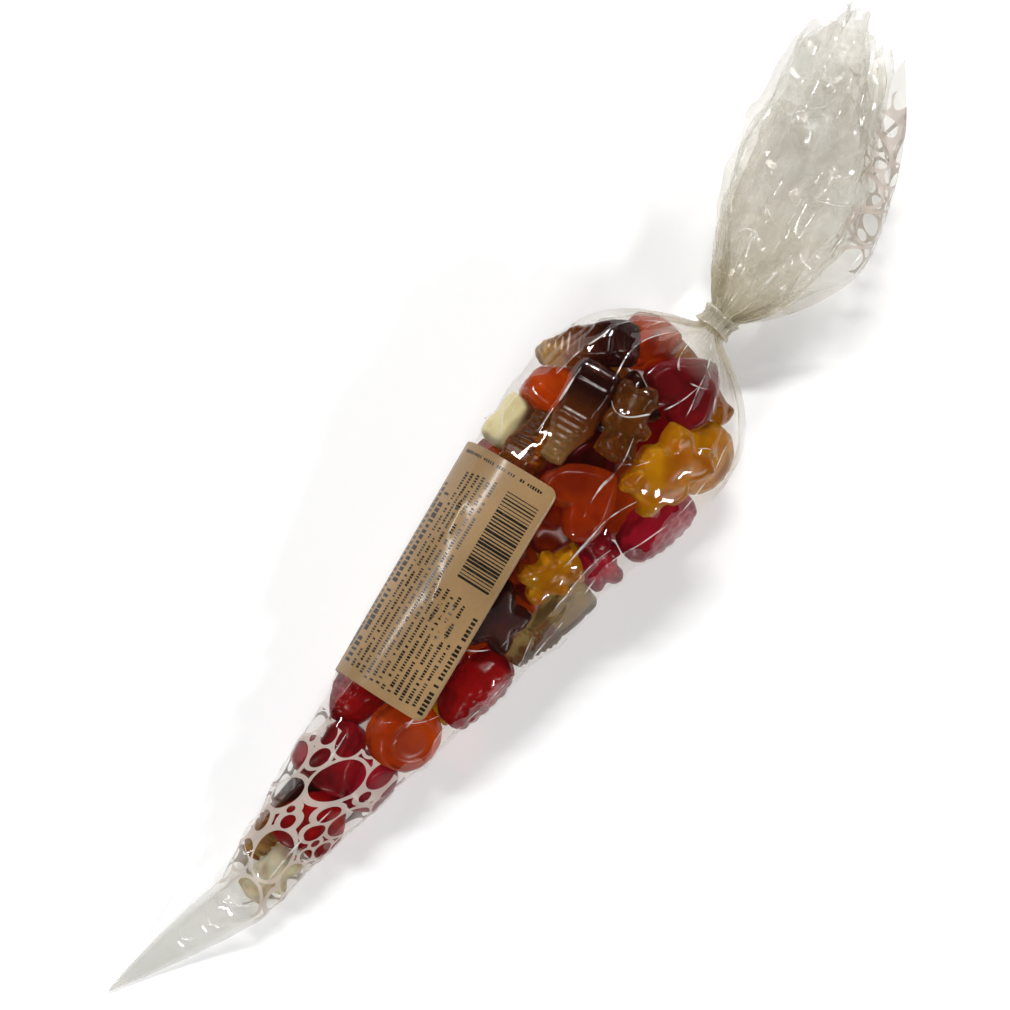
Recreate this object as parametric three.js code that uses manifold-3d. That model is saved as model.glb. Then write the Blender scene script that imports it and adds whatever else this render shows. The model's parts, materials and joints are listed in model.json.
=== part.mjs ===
// A cone-shaped bag of clear film, filled with jelly sweets and closed at the neck with clear tape.
// It lies on its side as it comes to rest: +Z is up, the bag runs along +Y from its empty tip to its
// crumpled mouth, and the origin is the middle of the footprint. All sizes are in millimetres.
import * as THREE from "three";
import { mergeVertices } from "three/addons/utils/BufferGeometryUtils.js";
import Module from "manifold-3d";

const wasm = await Module();
wasm.setup();

// The film and the clearances
const FILM = 0.35; // wall of the bag, about ten times the real film so that it can be meshed
const GAP = 0.3; // between pieces that rest against each other
const SQUASH = 0.7; // how deep two soft sweets press into each other before they are parted

// The bag along its length, from the tip
const TAIL_LENGTH = 48; // empty tip below the sweets, swung to one side
const CONE_LENGTH = 168; // from the bend above the tail to the widest place
const SHOULDER_LENGTH = 47; // from the widest place to the neck
const NECK_LENGTH = 7.6; // gathered stretch under the tape
const FLARE_LENGTH = 92; // loose film above the neck

// The bag across
const BEND_WIDTH = 17.2;
const BEND_DEPTH = 12.6;
const WIDEST_WIDTH = 71;
const WIDEST_DEPTH = 44;
const NECK_WIDTH = 10.9;
const NECK_DEPTH = 10.9;
const FLARE_WIDTH = 54;
const FLARE_DEPTH = 40;
const TIP_WIDTH = 1;
const TIP_DEPTH = 0.9;
const SINK = 1.5; // how much of the soft underside is flattened by the table
const NECK_HEIGHT = 15; // middle of the neck above the table

// How the bag leans sideways, along X
const TAIL_SWING = -12.5;
const CONE_BOW = -5.2;
const RIGHT_DENT = 2.8; // hollow in the right side, below the widest place
const FLARE_LEAN = -22;
const MOUTH_DROP_LEFT = 13; // how far the mouth's edge falls short at its left side
const MOUTH_DROP_RIGHT = 17;

// Gathers
const PLEATS = 10;
const STEPS_PER_PLEAT = 4;
const SEGMENTS = PLEATS * STEPS_PER_PLEAT;
const SHOULDER_PLEAT = 0.12; // depth of a pleat as a share of the half width where it lies
const NECK_PLEAT = 0.45;
const PLEATS_START = 0.4; // share of the shoulder that is still smooth
const CRUMPLE = 0.08; // unevenness of the loose film, as a share of its half width

// Folds of the loose film above the neck: the step round the bag that each lies on, counted up from
// the right edge, its depth as a share of the half width, and how many steps it reaches to each side.
// The film at the right edge, between the last fold and the first, lies smooth.
const FLARE_FOLDS = [
  { step: 4, depth: 0.38, reach: 1 },
  { step: 8, depth: 0.24, reach: 2 },
  { step: 11, depth: 0.36, reach: 1 },
  { step: 15, depth: 0.28, reach: 2 },
  { step: 18, depth: 0.14, reach: 1 },
  { step: 22, depth: 0.26, reach: 2 },
  { step: 26, depth: 0.36, reach: 2 },
  { step: 30, depth: 0.3, reach: 2 },
  { step: 35, depth: 0.32, reach: 2 },
];
const FLARE_TWIST = 12; // degrees that the folds turn on their way to the mouth

// The welded seam, a low ridge along the right side
const SEAM_RIDGE = 0.9;
const SEAM_STEP = 3; // which step round the bag it lies on, counted up from the right edge

// The label
const LABEL_WIDTH = 50;
const LABEL_LENGTH = 77;
const LABEL_CORNER = 3;
const LABEL_PAPER = 0.3;
const LABEL_TURN = 2.3; // degrees that it is stuck off square to the bag's left edge
const LABEL_START = 69; // its lower edge, from the bend, where it crosses the bag's left edge
const LABEL_WRAP = 11.5; // how far it reaches round under the left edge
const LABEL_LIFT = 0.5; // paper off the bag's true surface, which clears the flat facets too

// The tape
const TAPE_WIDTH = 7;
const TAPE_THICKNESS = 0.5;

// Sizes of the sweets: length, width, thickness and edge rounding
const BOTTLE = { length: 32, width: 14.5, thick: 10, round: 2.6 };
const HEART = { length: 22, width: 24, thick: 12, round: 3 };
const BEAR = { length: 24, width: 16, thick: 11, round: 2.2 };
const CUB = { length: 19, width: 14, thick: 10, round: 1.8 };
const FROG = { length: 27, width: 20, thick: 12, round: 2.4 };
const ROUND = { length: 23, width: 23, thick: 12, round: 3.4 };
const BERRY = { length: 27, width: 19, thick: 13, round: 3.4 };
const PEBBLE = { length: 19, width: 17, thick: 12, round: 3.2 };
const BONE = { length: 21, width: 15, thick: 10, round: 2.6 };
const STAR = { length: 25, width: 26, thick: 10, round: 2.2 };

const mix = (a, b, k) => a + (b - a) * k;
const clamp01 = (k) => Math.min(1, Math.max(0, k));
const ease = (k) => clamp01(k) ** 2 * (3 - 2 * clamp01(k));

const WIDEST = CONE_LENGTH;
const NECK_START = WIDEST + SHOULDER_LENGTH;
const NECK_END = NECK_START + NECK_LENGTH;
const MOUTH = NECK_END + FLARE_LENGTH;

// Half width, half depth, middle and pleat depth of the bag's outer surface at a place along it.
function sectionAt(y) {
  if (y <= 0) {
    const k = clamp01((y + TAIL_LENGTH) / TAIL_LENGTH);
    const half = mix(TIP_WIDTH, BEND_WIDTH, 1 - (1 - k) ** 1.45) / 2;
    const deep = mix(TIP_DEPTH, BEND_DEPTH, k ** 1.7) / 2;
    return { x: TAIL_SWING * (1 - k), half, deep, z: deep - SINK * k * k, pleat: 0 };
  }
  if (y <= WIDEST) {
    const k = y / WIDEST;
    const dent = (RIGHT_DENT / 2) * Math.exp(-(((k - 0.83) / 0.13) ** 2));
    const half = mix(BEND_WIDTH, WIDEST_WIDTH, k) / 2 - dent;
    const deep = mix(BEND_DEPTH, WIDEST_DEPTH, k ** 0.8) / 2;
    return { x: CONE_BOW * Math.sqrt(k) - dent, half, deep, z: deep - SINK, pleat: 0 };
  }
  if (y <= NECK_START) {
    const k = (y - WIDEST) / SHOULDER_LENGTH;
    const full = 1 - k ** 4;
    const half = mix(NECK_WIDTH, WIDEST_WIDTH, full) / 2;
    const deep = mix(NECK_DEPTH, WIDEST_DEPTH, full) / 2;
    const gather = clamp01((k - PLEATS_START) / (1 - PLEATS_START));
    const pleat = SHOULDER_PLEAT * gather + (NECK_PLEAT - SHOULDER_PLEAT) * gather ** 6;
    const z = mix(WIDEST_DEPTH / 2 - SINK, NECK_HEIGHT, k ** 2.5);
    return { x: mix(CONE_BOW, CONE_BOW * 0.85, k), half, deep, z, pleat };
  }
  const k = clamp01((y - NECK_END) / FLARE_LENGTH);
  const open = k < 0.45 ? 1 - (1 - k / 0.45) ** 2 : 1 - 0.35 * (k / 0.45 - 1) ** 2;
  const half = mix(NECK_WIDTH, FLARE_WIDTH, open) / 2;
  const deep = mix(NECK_DEPTH, FLARE_DEPTH, open) / 2;
  const pleat = NECK_PLEAT * (1 - ease(2.5 * k));
  const z = mix(NECK_HEIGHT, FLARE_DEPTH / 2 - SINK, ease(2.2 * k));
  return { x: CONE_BOW * 0.85 + FLARE_LEAN * k * k, half, deep, z, pleat };
}

// How deep the loose film's folds lie at one of the steps round the bag, as a share of the half width.
function flareFold(j) {
  return FLARE_FOLDS.reduce((deepest, { step, depth, reach }) => {
    return Math.max(deepest, depth * clamp01(1 - Math.abs(j - step) / reach));
  }, 0);
}

// Angle and depth of one of the steps round the bag. Pleats differ from each other, as gathers do.
function stepRound(j, y) {
  const { pleat } = sectionAt(y);
  const which = Math.floor(j / STEPS_PER_PLEAT);
  const within = j % STEPS_PER_PLEAT;
  const uneven = pleat * 0.32 * Math.sin(2.1 * which + 0.7);
  const deeper = 1 + 0.35 * Math.sin(1.3 * which + 2);
  const fold = 1 - Math.abs(2 * (within / STEPS_PER_PLEAT) - 1);
  const up = clamp01((y - NECK_END) / FLARE_LENGTH);
  const crumple = (CRUMPLE / 2) * ease(up / 0.3) * (1 + Math.sin(0.33 * y + 2.4 * j));
  const twist = THREE.MathUtils.degToRad(FLARE_TWIST) * up;
  const shrink = 1 - pleat * deeper * fold - ease(2.5 * up) * flareFold(j) - crumple;
  return { angle: (2 * Math.PI * j) / SEGMENTS + uneven + twist, shrink };
}

// A closed outline of the bag across its length, pulled in by inset, lying on the table at floor.
function ringAt(y, inset, floor) {
  const s = sectionAt(y);
  const outer = [];
  const seam = SEAM_RIDGE * ease(y / 40) * ease((NECK_START - y) / SHOULDER_LENGTH);
  for (let j = 0; j < SEGMENTS; j++) {
    const { angle, shrink } = stepRound(j, y);
    const ridge = j === SEAM_STEP ? seam : 0;
    const x = s.x + (s.half * shrink + ridge) * Math.cos(angle);
    const z = s.z + (s.deep * shrink + ridge) * Math.sin(angle);
    outer.push(new THREE.Vector2(x, Math.max(z, 0)));
  }
  const ring = inset > 0 ? pulledIn(outer, inset) : outer;
  return ring.map((p) => new THREE.Vector2(p.x, Math.max(p.y, floor)));
}

// Moves an outline's sides inwards by the same distance, with mitred corners.
function pulledIn(points, inset) {
  const n = points.length;
  const inward = (a, b) => {
    const d = b.clone().sub(a).normalize();
    return new THREE.Vector2(-d.y, d.x);
  };
  return points.map((p, i) => {
    const before = inward(points[(i + n - 1) % n], p);
    const after = inward(p, points[(i + 1) % n]);
    const middle = before.clone().add(after).normalize();
    const mitre = Math.max(0.3, middle.dot(after));
    return p.clone().addScaledVector(middle, inset / mitre);
  });
}

// The mouth is uneven: its edge falls short at the sides, and the film below follows it.
function mouthShift(y, j) {
  const k = clamp01((y - NECK_END) / FLARE_LENGTH);
  const across = Math.cos((2 * Math.PI * j) / SEGMENTS);
  const drop = (across < 0 ? MOUTH_DROP_LEFT : MOUTH_DROP_RIGHT) * across * across;
  return -(drop + 2.2 * (1 + Math.sin(0.9 * j + 1))) * k ** 3;
}

// Places of the rings: close where the bag turns, wide along the straight cone.
function ringPlaces() {
  const places = [];
  const stretch = (from, to, steps) => {
    for (let i = 0; i < steps; i++) places.push(mix(from, to, i / steps));
  };
  stretch(-TAIL_LENGTH, 0, 4);
  stretch(0, WIDEST, 7);
  stretch(WIDEST, NECK_START, 8);
  stretch(NECK_START, NECK_END, 2);
  stretch(NECK_END, MOUTH, 11);
  places.push(MOUTH);
  return places;
}

// Inset across the length that leaves the wall as thick where the film slopes steeply.
function slopedInset(y, wall) {
  const step = 0.5;
  const slope = (sectionAt(y + step).half - sectionAt(y - step).half) / (2 * step);
  return wall * Math.min(2.4, Math.sqrt(1 + slope * slope));
}

// A skin of rings: vertices, and triangles that face out, or in when turned.
class Skin {
  constructor(around) {
    this.around = around;
    this.vertices = [];
    this.triangles = [];
  }
  ring(points) {
    const first = this.vertices.length;
    this.vertices.push(...points);
    return first;
  }
  middleOf(ring) {
    const points = this.vertices.slice(ring, ring + this.around);
    return points.reduce((sum, v) => sum.add(v), new THREE.Vector3()).divideScalar(this.around);
  }
  band(a, b, turned) {
    for (let j = 0; j < this.around; j++) {
      const next = (j + 1) % this.around;
      this.quad(a + j, b + j, b + next, a + next, turned);
    }
  }
  quad(p, q, r, s, turned) {
    if (turned) this.triangles.push([p, r, q], [p, s, r]);
    else this.triangles.push([p, q, r], [p, r, s]);
  }
  point(at, ring, turned) {
    const tip = this.vertices.length;
    this.vertices.push(at);
    for (let j = 0; j < this.around; j++) {
      const next = (j + 1) % this.around;
      this.triangles.push(turned ? [tip, ring + next, ring + j] : [tip, ring + j, ring + next]);
    }
  }
  geometry() {
    const made = new THREE.BufferGeometry();
    const places = this.vertices.flatMap((v) => v.toArray());
    made.setAttribute("position", new THREE.Float32BufferAttribute(places, 3));
    made.setIndex(this.triangles.flat());
    return made;
  }
}

const lifted = (ring, y) => ring.map((p, j) => new THREE.Vector3(p.x, y + mouthShift(y, j), p.y));

// The bag is one wall of film from its closed tip through the open neck to the mouth's edge.
function bagFilm() {
  const skin = new Skin(SEGMENTS);
  const outer = [];
  const inner = [];
  for (const y of ringPlaces()) {
    outer.push(skin.ring(lifted(ringAt(y, 0, 0), y)));
    const roomy = Math.min(sectionAt(y).half, sectionAt(y).deep) > 3.2 * FILM;
    if (roomy) inner.push(skin.ring(lifted(ringAt(y, slopedInset(y, FILM), FILM), y)));
  }
  const tip = sectionAt(-TAIL_LENGTH);
  skin.point(new THREE.Vector3(tip.x, -TAIL_LENGTH - TIP_WIDTH, tip.z), outer[0], false);
  outer.slice(1).forEach((ring, i) => skin.band(outer[i], ring, false));
  skin.band(outer.at(-1), inner.at(-1), false);
  inner.slice(1).forEach((ring, i) => skin.band(inner[i], ring, true));
  const middle = skin.middleOf(inner[0]);
  skin.point(middle.setY(middle.y - FILM), inner[0], true);
  return skin.geometry();
}

// The room for the sweets: the bag's inner surface, closed just below the neck, with a clearance.
// It keeps every second point of the bag's outline, which stays inside the film.
function sweetRoom() {
  const skin = new Skin(SEGMENTS / 2);
  const wall = FILM + GAP;
  const inside = (y) => lifted(ringAt(y, slopedInset(y, wall), wall), y).filter((_, j) => j % 2 === 0);
  const rings = ringPlaces()
    .filter((y) => y > -TAIL_LENGTH * 0.4 && y < NECK_START - SHOULDER_LENGTH * 0.1)
    .map((y) => skin.ring(inside(y)));
  skin.point(skin.middleOf(rings[0]), rings[0], false);
  rings.slice(1).forEach((ring, i) => skin.band(rings[i], ring, false));
  skin.point(skin.middleOf(rings.at(-1)), rings.at(-1), true);
  return skin.geometry();
}

function toSolid(geometry) {
  const bare = geometry.clone();
  bare.deleteAttribute("normal");
  bare.deleteAttribute("uv");
  const merged = mergeVertices(bare, 1e-3);
  const vertProperties = new Float32Array(merged.attributes.position.array);
  const triVerts = new Uint32Array(merged.index.array);
  return new wasm.Manifold(new wasm.Mesh({ numProp: 3, vertProperties, triVerts }));
}

function toGeometry(solid) {
  const mesh = solid.getMesh();
  const made = new THREE.BufferGeometry();
  made.setAttribute("position", new THREE.Float32BufferAttribute(mesh.vertProperties, 3));
  made.setIndex([...mesh.triVerts]);
  return made;
}

// Outlines of the sweets as they lie in the mould, each a loop of points inside a unit box.
const loop = (count, place) => Array.from({ length: count }, (_, i) => place((2 * Math.PI * i) / count));
const mirrored = (half) => [...half, ...half.toReversed().filter(([x]) => x > 0).map(([x, y]) => [-x, y])];

const OUTLINES = {
  heart: mirrored([
    [0, -1], [0.3, -0.8], [0.66, -0.38], [0.95, 0.12], [1, 0.52], [0.82, 0.88], [0.5, 1],
    [0.2, 0.88], [0, 0.66],
  ]),
  round: loop(14, (t) => [Math.cos(t), Math.sin(t)]),
  pebble: loop(14, (t) => [
    Math.sign(Math.cos(t)) * Math.abs(Math.cos(t)) ** 0.7,
    Math.sign(Math.sin(t)) * Math.abs(Math.sin(t)) ** 0.8,
  ]),
  berry: loop(14, (t) => [Math.cos(t) * (1 + 0.22 * Math.sin(t)) * 0.88, Math.sin(t)]),
  star: loop(20, (t) => {
    const reach = 0.78 + 0.22 * Math.cos(5 * (t - Math.PI / 2));
    return [reach * Math.cos(t), reach * Math.sin(t)];
  }),
  bone: loop(16, (t) => [
    Math.cos(t) * (0.82 - 0.18 * Math.cos(4 * t)),
    Math.sin(t) * (0.9 - 0.1 * Math.cos(4 * t)),
  ]),
  bottle: mirrored([
    [0, -1], [0.75, -0.98], [1, -0.82], [0.98, -0.35], [0.86, -0.05], [0.95, 0.2],
    [0.62, 0.48], [0.46, 0.72], [0.5, 0.94], [0, 1],
  ]),
  bear: mirrored([
    [0, -0.78], [0.3, -0.98], [0.72, -0.96], [0.86, -0.66], [0.64, -0.36], [0.7, -0.16],
    [1, 0.02], [0.92, 0.26], [0.56, 0.28], [0.66, 0.5], [0.78, 0.86], [0.44, 0.92], [0, 1],
  ]),
  frog: mirrored([
    [0, -0.82], [0.46, -1], [0.94, -0.86], [0.84, -0.5], [0.66, -0.3], [0.96, -0.06],
    [0.9, 0.28], [0.66, 0.4], [0.74, 0.76], [0.5, 0.98], [0.2, 0.8], [0, 0.82],
  ]),
};

const KINDS = {
  bottle: { outline: OUTLINES.bottle, size: BOTTLE },
  heart: { outline: OUTLINES.heart, size: HEART },
  bear: { outline: OUTLINES.bear, size: BEAR },
  cub: { outline: OUTLINES.bear, size: CUB },
  frog: { outline: OUTLINES.frog, size: FROG },
  round: { outline: OUTLINES.round, size: ROUND },
  berry: { outline: OUTLINES.berry, size: BERRY },
  pebble: { outline: OUTLINES.pebble, size: PEBBLE },
  bone: { outline: OUTLINES.bone, size: BONE },
  star: { outline: OUTLINES.star, size: STAR },
};

// A moulded sweet: its outline with rounded edges, centred on its own middle.
function moulded({ outline, size }) {
  const points = outline.map(([x, y]) => new THREE.Vector2((x * size.width) / 2, (y * size.length) / 2));
  const made = new THREE.ExtrudeGeometry(new THREE.Shape(points), {
    depth: size.thick - 2 * size.round,
    bevelEnabled: true,
    bevelSegments: 1,
    bevelThickness: size.round,
    bevelSize: size.round * 0.7,
    bevelOffset: -size.round * 0.7,
  });
  made.translate(0, 0, size.round - size.thick / 2);
  return made;
}

const FINISHES = {
  red: { color: "#a80f12", roughness: 0.35 },
  wine: { color: "#5a0b10", roughness: 0.35 },
  pink: { color: "#c22a3e", roughness: 0.35 },
  orange: { color: "#c85308", roughness: 0.35 },
  yellow: { color: "#d09312", roughness: 0.35 },
  amber: { color: "#9a6524", roughness: 0.35 },
  cola: { color: "#3a1410", roughness: 0.35 },
  cream: { color: "#d9d3a8", roughness: 0.6 },
  clear: { color: "#cfc08a", roughness: 0.3 },
};

// Where each sweet lies: kind, colour, how far from the bend to the neck, then across and up as
// shares of the bag's half width and half depth there, and its turn in the film's plane in degrees.
const SWEETS = [
  // against the upper film, from the tail to the neck
  ["cub", "clear", 0.023, 0.05, 0.05, 175],
  ["bottle", "cola", 0.102, -0.52, 0.1, 172],
  ["heart", "red", 0.112, 0.42, 0.25, 184],
  ["heart", "wine", 0.177, -0.4, 0.35, 60],
  ["pebble", "pink", 0.195, 0.5, 0.3, 20],
  ["berry", "red", 0.256, -0.55, 0.45, 10],
  ["round", "orange", 0.279, 0.45, 0.5, 0],
  ["star", "wine", 0.34, -0.25, 0.65, 15],
  ["berry", "red", 0.4, 0.32, 0.6, -8],
  ["berry", "red", 0.409, 0.86, 0.25, 5],
  ["heart", "orange", 0.433, -0.55, 0.5, 30],
  ["bottle", "clear", 0.498, 0.7, 0.45, 172],
  ["star", "cola", 0.525, 0.4, 0.7, 20],
  ["frog", "yellow", 0.544, -0.55, 0.55, 12],
  ["pebble", "wine", 0.57, -0.25, 0.65, 30],
  ["cub", "yellow", 0.632, 0.36, 0.8, -25],
  ["pebble", "orange", 0.647, -0.78, 0.4, 0],
  ["cub", "pink", 0.702, 0.6, 0.6, 60],
  ["bone", "cream", 0.721, -0.66, 0.6, 0],
  ["bottle", "amber", 0.72, -0.5, 0.62, 12],
  ["heart", "orange", 0.712, 0.12, 0.7, 160],
  ["berry", "pink", 0.744, 0.84, 0.3, -10],
  ["bottle", "cola", 0.772, -0.28, 0.82, 190],
  ["star", "cola", 0.819, -0.1, 0.8, 10],
  ["frog", "yellow", 0.837, 0.42, 0.72, 170],
  ["bottle", "cola", 0.833, -0.66, 0.55, 130],
  ["round", "yellow", 0.87, 0.72, 0.35, 0],
  ["pebble", "orange", 0.926, -0.5, 0.5, 10],
  ["bear", "amber", 0.87, -0.2, 0.75, 200],
  ["heart", "wine", 0.9, 0.2, 0.6, 170],
  // in the middle of the heap
  ["round", "red", 0.465, -0.1, 0, 0],
  ["bear", "orange", 0.563, 0.15, 0.05, 80],
  ["heart", "orange", 0.69, 0.25, 0.3, 20],
  ["round", "wine", 0.758, 0.1, 0.15, 0],
  ["berry", "orange", 0.791, -0.5, 0, 80],
  // against the lower film
  ["bear", "yellow", 0.307, 0.1, -0.55, 85],
  ["heart", "pink", 0.391, -0.3, -0.6, 10],
  ["frog", "orange", 0.484, 0.35, -0.6, 30],
  ["bottle", "cola", 0.526, -0.4, -0.6, 20],
  ["heart", "yellow", 0.609, 0.15, -0.6, 100],
  ["berry", "red", 0.637, -0.55, -0.45, 15],
  ["round", "orange", 0.698, 0.5, -0.5, 0],
  ["bear", "cola", 0.735, -0.15, -0.6, 70],
  ["star", "red", 0.795, 0.35, -0.6, 20],
  ["frog", "amber", 0.823, -0.45, -0.5, 150],
  ["bottle", "amber", 0.893, 0.1, -0.5, 95],
];

// Directions spread evenly over a sphere, along which two sweets are compared.
const COMPARED = 96;
const DIRECTIONS = Array.from({ length: COMPARED }, (_, i) => {
  const z = 1 - (2 * i + 1) / COMPARED;
  const turn = i * Math.PI * (3 - Math.sqrt(5));
  const flat = Math.sqrt(1 - z * z);
  return new THREE.Vector3(flat * Math.cos(turn), flat * Math.sin(turn), z);
});

// How far outside the sweets' room a point lies, and the way back in.
function outside(p) {
  const step = 1;
  const reach = (y) => {
    const s = sectionAt(y);
    const half = Math.max(1, s.half * (1 - s.pleat) - FILM - GAP);
    const deep = Math.max(1, s.deep * (1 - s.pleat) - FILM - GAP);
    const across = (p.x - s.x) / half;
    const up = (p.z - s.z) / deep;
    const far = Math.hypot(across, up);
    return { far, x: across / half / far, z: up / deep / far };
  };
  const below = FILM + GAP - p.z;
  const here = reach(p.y);
  if (here.far < 1) return { depth: below, way: new THREE.Vector3(0, 0, 1) };
  const gradient = new THREE.Vector3(here.x, (reach(p.y + step).far - here.far) / step, here.z);
  const depth = (here.far - 1) / gradient.length();
  if (below > depth) return { depth: below, way: new THREE.Vector3(0, 0, 1) };
  return { depth, way: gradient.normalize().negate() };
}

// A sweet turned to lie against the film, with how far it reaches in every direction.
function laid([kind, tint, along, across, up, turn], index) {
  const y = along * NECK_START;
  const s = sectionAt(y);
  const facing = new THREE.Vector3(across / s.half, 0, up / s.deep);
  if (Math.hypot(across, up) < 0.3) facing.set(Math.sin(index), 0, 1.5);
  facing.normalize();
  const lean = new THREE.Quaternion().setFromUnitVectors(new THREE.Vector3(0, 0, 1), facing);
  const spin = new THREE.Quaternion().setFromAxisAngle(
    new THREE.Vector3(0, 0, 1),
    THREE.MathUtils.degToRad(turn),
  );
  const geometry = moulded(KINDS[kind]).applyQuaternion(lean.multiply(spin));
  const at = geometry.attributes.position;
  const corners = Array.from({ length: at.count }, (_, i) => new THREE.Vector3().fromBufferAttribute(at, i));
  const reach = DIRECTIONS.map((d) => Math.max(...corners.map((c) => c.dot(d))));
  const back = DIRECTIONS.map((d) => Math.max(...corners.map((c) => -c.dot(d))));
  const centre = new THREE.Vector3(s.x + across * s.half * 0.8, y, s.z + up * s.deep * 0.8);
  const extent = Math.max(...corners.map((c) => c.length()));
  return { kind, tint, geometry, corners, reach, back, centre, extent, home: centre.clone() };
}

// How deep sweet a reaches into sweet b, along the direction in which that is least.
function overlap(a, b) {
  if (a.centre.distanceTo(b.centre) > a.extent + b.extent) return null;
  const apart = a.centre.clone().sub(b.centre);
  let best = { depth: Infinity };
  DIRECTIONS.forEach((d, i) => {
    const depth = apart.dot(d) + a.reach[i] + b.back[i];
    if (depth < best.depth) best = { depth, way: d, from: b.centre.dot(d) - b.back[i] };
  });
  return best;
}

// Lets the sweets settle: they push each other apart and stay inside the film.
function settle(sweets) {
  const rounds = 120;
  for (let round = 0; round < rounds; round++) {
    const pull = 0.02 * (1 - round / rounds);
    sweets.forEach((a, i) => {
      a.centre.lerp(a.home, pull);
      sweets.slice(i + 1).forEach((b) => {
        const met = overlap(a, b);
        if (!met || met.depth <= SQUASH) return;
        const push = (met.depth - SQUASH) * 0.35;
        a.centre.addScaledVector(met.way, -push);
        b.centre.addScaledVector(met.way, push);
      });
    });
    sweets.forEach((a) => {
      const worst = a.corners.reduce(
        (deepest, c) => {
          const found = outside(c.clone().add(a.centre));
          return found.depth > deepest.depth ? found : deepest;
        },
        { depth: 0 },
      );
      if (worst.depth > 0) a.centre.addScaledVector(worst.way, worst.depth * 0.7);
    });
  }
}

const largest = (solid) => solid.decompose().reduce((a, b) => (b.volume() > a.volume() ? b : a));

// Cuts off what lies beyond a flat plane, square to way, at the given distance from the middle.
function cutBeyond(solid, way, distance) {
  const size = 4 * MOUTH;
  const block = new THREE.BoxGeometry(size, size, size).translate(0, 0, size / 2 + distance);
  block.applyQuaternion(new THREE.Quaternion().setFromUnitVectors(new THREE.Vector3(0, 0, 1), way));
  return solid.subtract(toSolid(block));
}

// Soft sweets flatten where they meet: each pair is parted by a plane, with the clearance between.
function partNeighbours(sweets) {
  sweets.forEach((a, i) =>
    sweets.slice(i + 1).forEach((b) => {
      const met = overlap(a, b);
      if (!met || a.solid.intersect(b.solid).volume() === 0) return;
      const middle = met.from + met.depth / 2;
      const back = met.way.clone().negate();
      a.solid = cutBeyond(a.solid, met.way, middle - GAP / 2);
      b.solid = cutBeyond(b.solid, back, -(middle + GAP / 2));
    }),
  );
}

function sweetMeshes() {
  const sweets = SWEETS.map(laid);
  settle(sweets);
  const room = toSolid(sweetRoom());
  for (const sweet of sweets) {
    sweet.solid = toSolid(sweet.geometry.clone().translate(...sweet.centre.toArray())).intersect(room);
  }
  partNeighbours(sweets);
  const counts = {};
  return sweets.map((sweet) => {
    counts[sweet.kind] = (counts[sweet.kind] ?? 0) + 1;
    const name = `${sweet.kind}_${sweet.tint}_${counts[sweet.kind]}`;
    return named(name, toGeometry(largest(sweet.solid)), FINISHES[sweet.tint]);
  });
}

function named(name, geometry, finish) {
  const material = new THREE.MeshStandardMaterial({ metalness: 0, ...finish });
  const mesh = new THREE.Mesh(geometry, material);
  mesh.name = name;
  return mesh;
}

// Distance round the bag from its left edge, turned into a point on the film's true surface.
function roundFromLeft(y, distance, lift) {
  const s = sectionAt(y);
  const steps = 60;
  const side = Math.sign(distance) || 1;
  let angle = Math.PI;
  for (let i = 0; i < steps; i++) {
    const speed = Math.hypot(s.half * Math.sin(angle), s.deep * Math.cos(angle));
    angle -= (side * Math.abs(distance)) / steps / speed;
  }
  const outward = new THREE.Vector3(Math.cos(angle) / s.half, 0, Math.sin(angle) / s.deep).normalize();
  const at = new THREE.Vector3(s.x + s.half * Math.cos(angle), y, s.z + s.deep * Math.sin(angle));
  return at.addScaledVector(outward, lift);
}

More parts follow.
